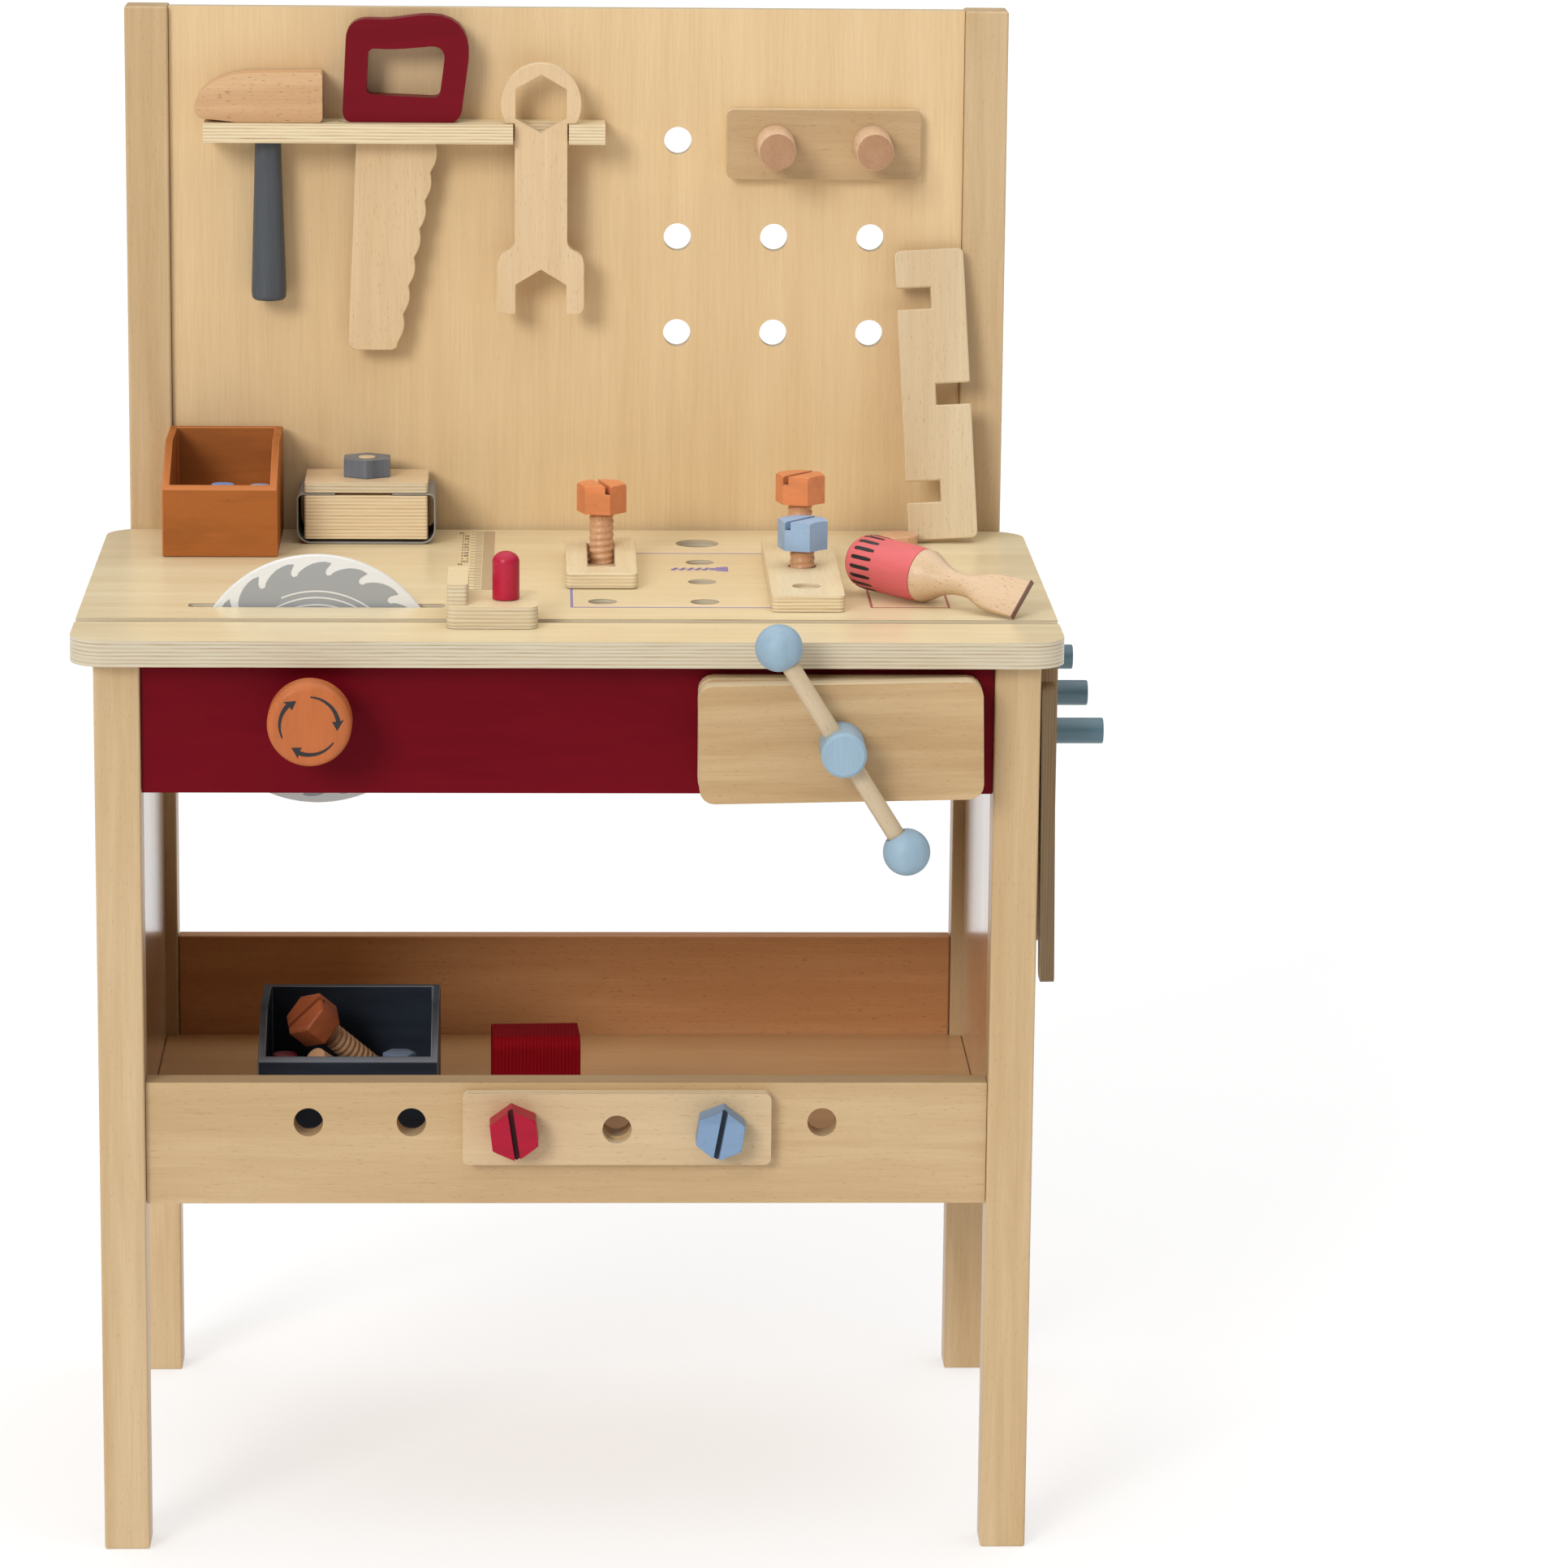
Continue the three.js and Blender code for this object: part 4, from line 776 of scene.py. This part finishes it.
def finish_vise():
    for k, (node, tilt) in enumerate((("vise_fixed_jaw", 0), ("vise_moving_jaw", JAW_TILT))):
        lean = math.radians(tilt)
        grain = (math.cos(lean), 0, math.sin(lean))
        # painted highlight: the jaws' edges are lightened by their tint
        softened(node, ply_for(node, grain, "y", JAW_LIGHT, JAW_DARK, 2.1, figure=1.0,
                               fleck=0.3, seed=k * 2.7 + 6.2, edge_tint=EDGE_HIGHLIGHT), 1.8, 3)
    blue = painted("vise_paint", BLUE, dim(BLUE, 0.93), "z", "y", 0.2, 0.36)
    cx, _, cz = middle_of(*local_box("vise_hub"))
    softened("vise_hub", blue, 0.7, 2)
    lo, hi = local_box("vise_screw")
    depth, pitch = SCREW_THREAD
    beech = wood("screw_wood", BEECH_LIGHT, BEECH_DARK, "y", "z")
    thread("vise_screw_finished", (hi.x - lo.x) / 2, depth, pitch, 0, hi.y - lo.y, (cx, lo.y, cz),
           (0, 1, 0), beech, "vise_screw_set", "beech", ("vise_screw",), 48, 12)

    upper, lower = centre_of("vise_ball_upper"), centre_of("vise_ball_lower")
    axis = (upper - lower).normalized()
    rod = wood("rod_wood", (206, 188, 160), (190, 168, 136), axis, (0, 1, 0))
    middle = ((upper + lower) / 2 - ORIGIN) / MM
    reach = (upper - lower).length / MM / 2 - ROD_INTO_BALL
    turned("vise_handle_rod_finished",
           [(0, -reach), (ROD_RADIUS, -reach), (ROD_RADIUS, reach), (0, reach)],
           middle, axis, rod, "vise_screw_set", ("vise_handle_rod",), 40)
    for node, end in (("vise_ball_upper", upper), ("vise_ball_lower", lower)):
        lo, hi = local_box(node)
        radius = (hi.y - lo.y) / 2
        inward = (middle * MM + ORIGIN - end).normalized()
        profile = [(radius * math.sin(t), -radius * math.cos(t)) for t in
                   (math.pi * k / 30 for k in range(26))]
        mouth = profile[-1][1]
        profile += [(6.2, mouth), (5.9, mouth - 1.0), (0, mouth - 1.2)]
        turned(node + "_finished", profile, (end - ORIGIN) / MM, inward, blue,
               "vise_screw_set", (node,), 56, 0.5)


# -------- fence and prints
def finish_fence():
    softened("fence_base", ply_for("fence_base", "x", "z", PLY_LIGHT, PLY_DARK, 2.4, seed=1.9),
             0.9, 2)
    lo, hi = local_box("fence_knob")
    radius, high = (hi.x - lo.x) / 2, hi.z - lo.z
    dome = [(radius * math.cos(t), high - radius * 0.8 * (1 - math.sin(t))) for t in
            (math.pi / 2 * k / 12 for k in range(12))]
    paint = painted("fence_knob_paint", MAGENTA, dim(MAGENTA, 0.9), "z", "x", 0.2, 0.3,
                    shine=0.35)
    turned("fence_knob_finished", [(0, 0), (radius, 0)] + dome + [(0, high)],
           middle_of(lo, hi, z=lo.z), (0, 0, 1), paint, "fence", ("fence_knob",), 56,
           0.6)


# A numeral's strokes, each from one corner to another of a box one unit wide and high.
STROKES = {
    "a": ((0, 1), (1, 1)), "b": ((1, 1), (1, 0.5)), "c": ((1, 0.5), (1, 0)),
    "d": ((0, 0), (1, 0)), "e": ((0, 0.5), (0, 0)), "f": ((0, 1), (0, 0.5)),
    "g": ((0, 0.5), (1, 0.5)),
}
NUMERALS = {"0": "abcdef", "1": "bc", "2": "abged", "3": "abgcd", "4": "fgbc", "5": "afgcd",
            "6": "afgedc", "7": "abc", "8": "abcdefg", "9": "abcdfg"}


def digit(text, x, y, size):
    """A numeral's strokes as flat quads."""
    shapes, half = [], size * 0.07
    for stroke in NUMERALS[text]:
        (u0, v0), (u1, v1) = STROKES[stroke]
        p, q = Vector((u0 * size * 0.5, v0 * size)), Vector((u1 * size * 0.5, v1 * size))
        side = (q - p).normalized() * half
        n = Vector((-side.y, side.x))
        quad = [p - side - n, q + side - n, q + side + n, p - side + n]
        shapes.append([(x + w.x, y + w.y) for w in quad])
    return shapes


GROOVE_DEPTH = 6
DRILL_FRAME, TOOL_FRAME, FRAME_LINE = (1.6, 170, 94, 278), (187, 236.5, 95.5, 205), 1.6
RULER_X, RULER_Y, RULER_STEP, RULER_TICKS = -54.4, 152, 5, 41
TICK_LONG, TICK_SHORT, TICK_LINE = 7.5, 4.5, 0.7
NUMERAL_X, NUMERAL_GAP, NUMERAL_SIZE = -69.5, 3.6, 4.4


# The printed drill bit: its chuck is at the right, and FLUTES slanting strokes cross its core.
BIT_CHUCK, BIT_COLLAR = ((95, 217), (102.5, 215), (102.5, 231), (95, 229)), (91, 95, 219.5, 226.5)
BIT_CORE, FLUTES, FLUTE_X, FLUTE_STEP = (66, 91, 222.4, 223.6), 5, 66, 5
FLUTE = ((0, 218.5), (2.4, 218.5), (5, 227.5), (2.6, 227.5))
# The groove strip is painted shade, a dark strip laid on the floor of the groove.
RULER_BAND, GROOVE_SHADE = (-54, -46.7, 150.5, 354), (233, 248, 50.4, 51.6)


def print_worktop():
    purple = ink("purple_ink", INK_PURPLE, 0.8)
    red = ink("red_ink", INK_RED, 0.8)
    dark = ink("dark_ink", (84, 68, 58), 0.85)
    flat_shapes("drill_frame_print", frame_outline(*DRILL_FRAME, FRAME_LINE), on_worktop, purple,
                "bench")
    flat_shapes("tool_frame_print", frame_outline(*TOOL_FRAME, FRAME_LINE), on_worktop, red,
                "bench")
    bit = [list(BIT_CHUCK), rectangle(*BIT_COLLAR)]
    for k in range(FLUTES):
        bit.append([(FLUTE_X + FLUTE_STEP * k + u, v) for u, v in FLUTE])
    bit.append(rectangle(*BIT_CORE))
    flat_shapes("drill_bit_print", bit, on_worktop, purple, "bench")
    flat_shapes("ruler_band_print", [rectangle(*RULER_BAND)], on_worktop,
                ink("band_ink", (176, 152, 122), 0.85), "bench")
    # painted shade: a dark strip on the groove's floor
    flat_shapes("groove_shade_strip", [rectangle(*GROOVE_SHADE)],
                lambda u, v, h: on_worktop(u, v, h - GROOVE_DEPTH), dark, "bench")
    ticks, numerals = [], []
    for k in range(RULER_TICKS):
        y = RULER_Y + RULER_STEP * k
        long = TICK_SHORT if k % 2 else TICK_LONG
        ticks.append(rectangle(RULER_X - long, RULER_X, y, y + TICK_LINE))
    flat_shapes("ruler_ticks_print", ticks, on_worktop, dark, "bench", 0.08)
    for k in range(RULER_TICKS // 2):
        text = str((k + 1) % (RULER_TICKS // 2))
        for j, ch in enumerate(text):
            numerals += digit(ch, NUMERAL_X + j * NUMERAL_GAP, RULER_Y + 3 + 2 * RULER_STEP * k,
                              NUMERAL_SIZE)
    flat_shapes("ruler_numerals_print", numerals, on_worktop, dark, "bench", 0.08)


# -------- boxes and what they hold
BOLT_THREAD = (7.9, 0.7, 4.3)   # radius, depth and pitch of every bolt's thread
LOOSE_HEAD = ((15.6, 0), (16.2, 0.6), (16.2, 17.2), (14.8, 18.4))
SLOT_FLOOR, SLOT_TOP, SLOT_HALF, SLOT_REACH = 13.6, 18.8, 1.6, 17
SLOT_SHADE = 1.5                # mm below a bolt's top, below which a slot's floor gets painted shade
BOX_WALL = 5


def loose_bolt(name, at, axis, colour, wood_mat, body, turn, shank, slot_turn):
    """A bolt lying in a box: a hex head with a slot, and a threaded shank."""
    matrix = frame_along(at, axis)
    rows = []
    for r, h in LOOSE_HEAD:
        rows.append([matrix @ (Vector((r * math.cos(a), r * math.sin(a), h)) * MM) for a in
                     (turn + math.pi / 3 * k for k in range(6))])
    mesh = ring_mesh(name + "_head", rows)
    straight = Vector(axis).normalized()
    # painted shade: the slot's floor below this level is painted darker
    level = spot(*at).dot(straight) + (LOOSE_HEAD[-1][1] - SLOT_SHADE) * MM
    paint = painted(name + "_paint", colour, dim(colour, 0.86), recess=(straight, level))
    head = add_piece(name + "_head", mesh, paint, body)
    mod = head.modifiers.new("edges", "BEVEL")
    mod.width = 0.6 * MM
    mod.segments = 2
    swing = matrix @ Matrix.Rotation(math.radians(slot_turn), 4, "Z")
    slot_rows = [[swing @ (Vector((x, y, h)) * MM) for x, y in
                  rectangle(-SLOT_REACH, SLOT_REACH, -SLOT_HALF, SLOT_HALF)]
                 for h in (SLOT_FLOOR, SLOT_TOP)]
    cutter = bpy.data.objects.new("cutter", ring_mesh("cutter", slot_rows))
    bpy.context.scene.collection.objects.link(cutter)
    carve = head.modifiers.new("slot", "BOOLEAN")
    carve.object = cutter
    carve.operation = "DIFFERENCE"
    carve.solver = "EXACT"
    bpy.context.view_layer.update()
    shaped = head.evaluated_get(bpy.context.evaluated_depsgraph_get())
    ready = bpy.data.meshes.new_from_object(shaped)
    head.modifiers.clear()
    head.data = ready
    bpy.data.objects.remove(cutter)
    shade(head.data, 35)
    thread(name + "_shank", *BOLT_THREAD, -shank, 0.5, at, axis, wood_mat, body, "beech")


def finish_boxes():
    # painted highlight: the rim colour lightens the box's edges and sloped tops
    terracotta = painted("terracotta_stain", TERRACOTTA, dim(TERRACOTTA, 0.88), "x", "z", 0.3,
                         0.4, shine=0.12, rim=(192, 118, 68))
    softened("terracotta_box", terracotta, 1.1, 2)
    # painted highlight: the rim colour lightens the box's edges and sloped tops
    slate = painted("slate_box_stain", (42, 50, 62), (29, 35, 44), "x", "z", 0.2, 0.38,
                    rim=(122, 128, 138))
    softened("slate_box", slate, 1.1, 2)
    corner, _ = local_box("slate_box")
    inside = corner + Vector((0, 0, BOX_WALL))
    beech = wood("loose_beech", BEECH_LIGHT, BEECH_DARK, "x", "z", fleck=0.6)
    loose_bolt("box_bolt", inside + Vector((39, 50, 48)), (-0.62, -0.45, 0.64),
               (196, 108, 68), beech, "slate_bin", 0.4, 58, 65)
    turned("box_dowel", cylinder(7.6, 47), inside + Vector((62, 50, 8)), (-27, -28, 27),
           beech, "slate_bin", (), 40, 1.2)
    turned("box_red_peg", cylinder(8, 37), inside + Vector((16, 25, 0.2)), (0, 0, 1),
           painted("box_red_paint", (120, 18, 36)), "slate_bin", (), 40, 1.2)
    turned("box_blue_block", cylinder(10.6, 39), inside + Vector((89, 22, 0.2)), (0, 0, 1),
           painted("box_blue_paint", (112, 130, 156)), "slate_bin", (), 6, 1.6)
    corner, _ = local_box("terracotta_box")
    inside = corner + Vector((0, 0, BOX_WALL))
    for name, x, radius, high, colour in (("bin_blue_peg", 38, 7.4, 38.4, (110, 140, 190)),
                                          ("bin_grey_peg", 62, 6.4, 37.8, (150, 160, 196))):
        turned(name, cylinder(radius, high), inside + Vector((x, 22, 0.2)), (0, 0, 1),
               painted(name + "_paint", colour), "terracotta_bin", (), 40, 0.8)


# -------- sanding block
def finish_sander():
    # painted highlight: the block's edges are lightened by their tint
    softened("sanding_block", ply_for("sanding_block", "x", "z", (238, 220, 184), (222, 196, 152),
                                      2.3, seed=3.8, edge_tint=(1.14, 1.08, 1.0)), 0.6)
    softened("sanding_clamp", ply_for("sanding_clamp", "x", "z", PALE_LIGHT, PALE_DARK, 2.1,
                                      seed=5.5), 0.6)
    softened("sanding_band", abrasive("grey_grit", (176, 172, 164), (120, 116, 110)), 0.25, 1)
    softened("spare_sanding_band", abrasive("red_grit", (150, 2, 16), (112, 0, 10), True), 0.25, 1)
    softened("sanding_nut", painted("nut_stain", SLATE, dim(SLATE, 0.8), "z", "x"), 1.0, 2)
    lo, hi = local_box("sanding_stud")
    turned("sanding_stud_finished", cylinder((hi.x - lo.x) / 2, hi.z - lo.z),
           middle_of(lo, hi, z=lo.z), (0, 0, 1),
           wood("stud_wood", PALE_LIGHT, PALE_DARK, "z", "x"), "sander",
           ("sanding_stud",), 40, 0.5)


# -------- tools on the rack
def finish_tools():
    softened("hammer_head", wood("hammer_beech", (212, 174, 132), (192, 148, 106), "x", "y",
                                 centre_of("hammer_head"), 0, 0.95, 0.9, 0.4, 2.6), 3.0, 4)
    lo, hi = local_box("hammer_handle")
    high = hi.z - lo.z
    turned("hammer_handle_finished",
           [(0, 0), (9.2, 0), (11.0, 1.6), (11.4, 6), (8.4, 101), (8.4, high), (0, high)],
           middle_of(lo, hi, z=lo.z), (0, 0, 1),
           painted("hammer_stain", (80, 84, 90), (68, 72, 78), "z", "x", 0.25, 0.36),
           "hammer", ("hammer_handle",), 56, 1.6)
    softened("handsaw_handle", painted("handsaw_paint", (114, 10, 26), (106, 8, 23), "x", "y",
                                       0.15, 0.33, shine=0.12), 2.4, 4, 40)
    # painted highlight: the blade's edges are lightened by their tint
    softened("handsaw_blade", ply_for("handsaw_blade", "z", "y", (220, 194, 156), (206, 173, 130),
                                      1.9, seed=2.1, edge_tint=EDGE_HIGHLIGHT), 0.9, 2)
    # painted highlight: the wrench's edges are lightened by their tint
    softened("wrench", ply_for("wrench", "z", "y", PALE_LIGHT, PALE_DARK, 2.0, seed=6.6,
                               edge_tint=EDGE_HIGHLIGHT), 1.6, 3, 40)


# -------- planks, pegs and bolts
PEG_SHANK, PEG_IN, PEG_HEAD, PEG_END = 7.75, 26, 12.8, 11.9
BENCH_PEG_HEAD = 8.3


def finish_planks():
    for k, (node, grain, thick) in enumerate((
            ("peg_plank", "x", "y"), ("slotted_plank", "y", "z"), ("three_hole_plank", "y", "z"),
            ("front_plank", "x", "y"))):
        light, dark = {
            "peg_plank": ((196, 166, 126), (180, 148, 106)),
            "front_plank": ((206, 182, 145), (193, 163, 124)),
        }.get(node, (PLY_LIGHT, (220, 196, 156)))
        # painted highlight: the planks' edges are lightened by their tint
        softened(node, ply_for(node, grain, thick, light, dark, 2.1, seed=k * 1.9 + 4,
                               edge_tint=EDGE_HIGHLIGHT), 1.2, 2)
    mesh = frame["nodes"]["notched_plank"].data
    largest = max(mesh.polygons, key=lambda f: f.area)
    normal = largest.normal.copy()
    up = Vector((0, 0, 1))
    along = (up - normal * normal.dot(up)).normalized()
    # painted highlight: the plank's edges are lightened by their tint
    softened("notched_plank", ply_for("notched_plank", along, normal, (214, 194, 160),
                                      (200, 172, 134), 2.1, figure=0.8, seed=9.9,
                                      edge_tint=EDGE_HIGHLIGHT), 1.2, 2)
    for k, node in enumerate(("plank_peg_left", "plank_peg_right")):
        lo, hi = local_box(node)
        long = hi.y - lo.y
        beech = wood(node + "_wood", (224, 192, 160), (204, 166, 132), "y", "z", (0, 0, 0), 0,
                     1.0, 0.9, 0.42, k + 2.0, end=0.85)
        turned(node + "_finished", [(0, 0), (PEG_SHANK, 0), (PEG_SHANK, PEG_IN),
                                    (PEG_HEAD, PEG_IN), (PEG_END, long), (0, long)],
               middle_of(lo, hi, y=hi.y), (0, -1, 0), beech, BODY_OF[node], (node,), 56,
               1.0)
    lo, hi = local_box("bench_peg")
    high = hi.z - lo.z
    neck = high - BENCH_PEG_HEAD
    turned("bench_peg_finished", [(0, 0), (PEG_SHANK, 0), (PEG_SHANK, neck), (12.7, neck),
                                  (12.7, high), (0, high)],
           middle_of(lo, hi, z=lo.z), (0, 0, 1),
           wood("bench_peg_wood", BEECH_LIGHT, BEECH_DARK, "z", "x", fleck=0.8), "bench_peg",
           ("bench_peg",), 56, 0.9)


def finish_bolts():
    colours = {
        "bolt_orange_left": BOLT_ORANGE, "bolt_blue_middle": BOLT_BLUE,
        "bolt_orange_right": BOLT_ORANGE, "bolt_magenta": (168, 12, 46),
        "bolt_blue_front": (122, 148, 178),
    }
    beech = wood("bolt_beech", (224, 178, 140), (196, 144, 104), "z", "x", fleck=0.7)
    for node, colour in colours.items():
        lo, hi = local_box(node)
        upright = hi.z - lo.z > hi.y - lo.y
        if upright:
            at, axis = middle_of(lo, hi, z=lo.z), (0, 0, 1)
        else:
            at, axis = middle_of(lo, hi, y=hi.y), (0, -1, 0)
        end = hi if upright else lo
        # painted shade: each slot's floor below this level is painted darker
        top = (ORIGIN + Vector(end) * MM).dot(Vector(axis)) - SLOT_SHADE * MM
        paint = painted(node + "_paint", colour, dim(colour, 0.9), recess=(axis, top))
        softened(node, paint, 0.7, 2)
        thread(node + "_thread", *BOLT_THREAD, -0.05, 45.0, at, axis, beech, BODY_OF[node],
               "beech")


# -------- screwdriver
# Dashes round the handle: each station is its distance from the closed end and its radius.
DASHES = 18
DASH_STATIONS = ((10.5, 16.6), (12, 16.85), (14, 17.2), (18, 17.2), (22, 17.2), (26, 17.2))
DASH_HALF, DASH_TIP_HALF = 4.0, 2.6     # degrees
DASH_SUNK, DASH_PROUD = -0.2, 0.12
HANDLE_MIDDLE = 44
TIP_HALF_WIDE, TIP_HALF_THICK = 13.7, 1.62


def mean(points):
    return sum(points, Vector()) / len(points)


def driver_dashes(start, axis):
    """A ring of dashes near the handle's closed end."""
    x = axis.cross(Vector((0, 0, 1))).normalized()
    y = axis.cross(x)
    final = len(DASH_STATIONS) - 1
    verts, faces = [], []
    for k in range(DASHES):
        base = len(verts)
        middle = math.radians(360 / DASHES * k)
        for n, (distance, radius) in enumerate(DASH_STATIONS):
            half = math.radians(DASH_TIP_HALF if n in (0, final) else DASH_HALF)
            for turn, lift in ((-half, DASH_SUNK), (half, DASH_SUNK), (half, DASH_PROUD),
                               (-half, DASH_PROUD)):
                out = x * math.cos(middle + turn) + y * math.sin(middle + turn)
                verts.append(tuple(start + axis * distance * MM + out * (radius + lift) * MM))
        for n in range(final):
            for c in range(4):
                d = (c + 1) % 4
                row = base + 4 * n
                faces.append((row + c, row + d, row + 4 + d, row + 4 + c))
        last = base + 4 * final
        faces += [(base + 3, base + 2, base + 1, base), (last, last + 1, last + 2, last + 3)]
    mesh = bpy.data.meshes.new("driver_dashes")
    mesh.from_pydata(verts, [], faces)
    add_piece("driver_dashes", mesh, ink("dash_ink", INK_BLACK), "screwdriver")


def driver_tip(shaft, axis):
    """The end of the spade is darker from the saw that cut it."""
    far = max(v.co.dot(axis) for v in shaft.vertices)
    tip = [v.co for v in shaft.vertices if v.co.dot(axis) > far - 0.3 * MM]
    wide = max(((a - b) for a in tip for b in tip), key=lambda d: d.length).normalized()
    thick = axis.cross(wide)
    end = mean(tip)
    rows = []
    for distance in (-0.9, 0.05):
        rows.append([tuple(end + axis * distance * MM + wide * u * MM + thick * w * MM) for u, w in
                     rectangle(-TIP_HALF_WIDE, TIP_HALF_WIDE, -TIP_HALF_THICK, TIP_HALF_THICK)])
    add_piece("driver_tip", ring_mesh("driver_tip", rows), ink("tip_scorch", (112, 78, 58)),
              "screwdriver")


def finish_screwdriver():
    handle = frame["nodes"]["screwdriver_handle"].data
    shaft = frame["nodes"]["screwdriver_shaft"].data
    ends = [mean([v.co for v in mesh.vertices]) for mesh in (handle, shaft)]
    axis = (ends[1] - ends[0]).normalized()
    softened("screwdriver_shaft", wood("driver_wood", (217, 189, 157), (200, 167, 129), axis,
                                       (0, 0, 1), (0, 0, 0), 0, 0.6, 0.5, 0.38), 0.4, 2, 50)
    softened("screwdriver_handle", painted("driver_paint", CORAL, dim(CORAL, 0.93), axis,
                                           (0, 0, 1), 0.15, 0.3), 0.6, 2)
    back = min(v.co.dot(axis) for v in handle.vertices)
    centre = mean([v.co for v in handle.vertices
                   if abs(v.co.dot(axis) - back - HANDLE_MIDDLE * MM) < 2 * MM])
    driver_dashes(centre + axis * (back - centre.dot(axis)), axis)
    driver_tip(shaft, axis)


make_camera()
make_floor()
make_sky()
make_key_light()
finish_bench()
finish_pegs()
finish_saw()
finish_vise()
finish_fence()
print_worktop()
finish_boxes()
finish_sander()
finish_tools()
finish_planks()
finish_bolts()
finish_screwdriver()
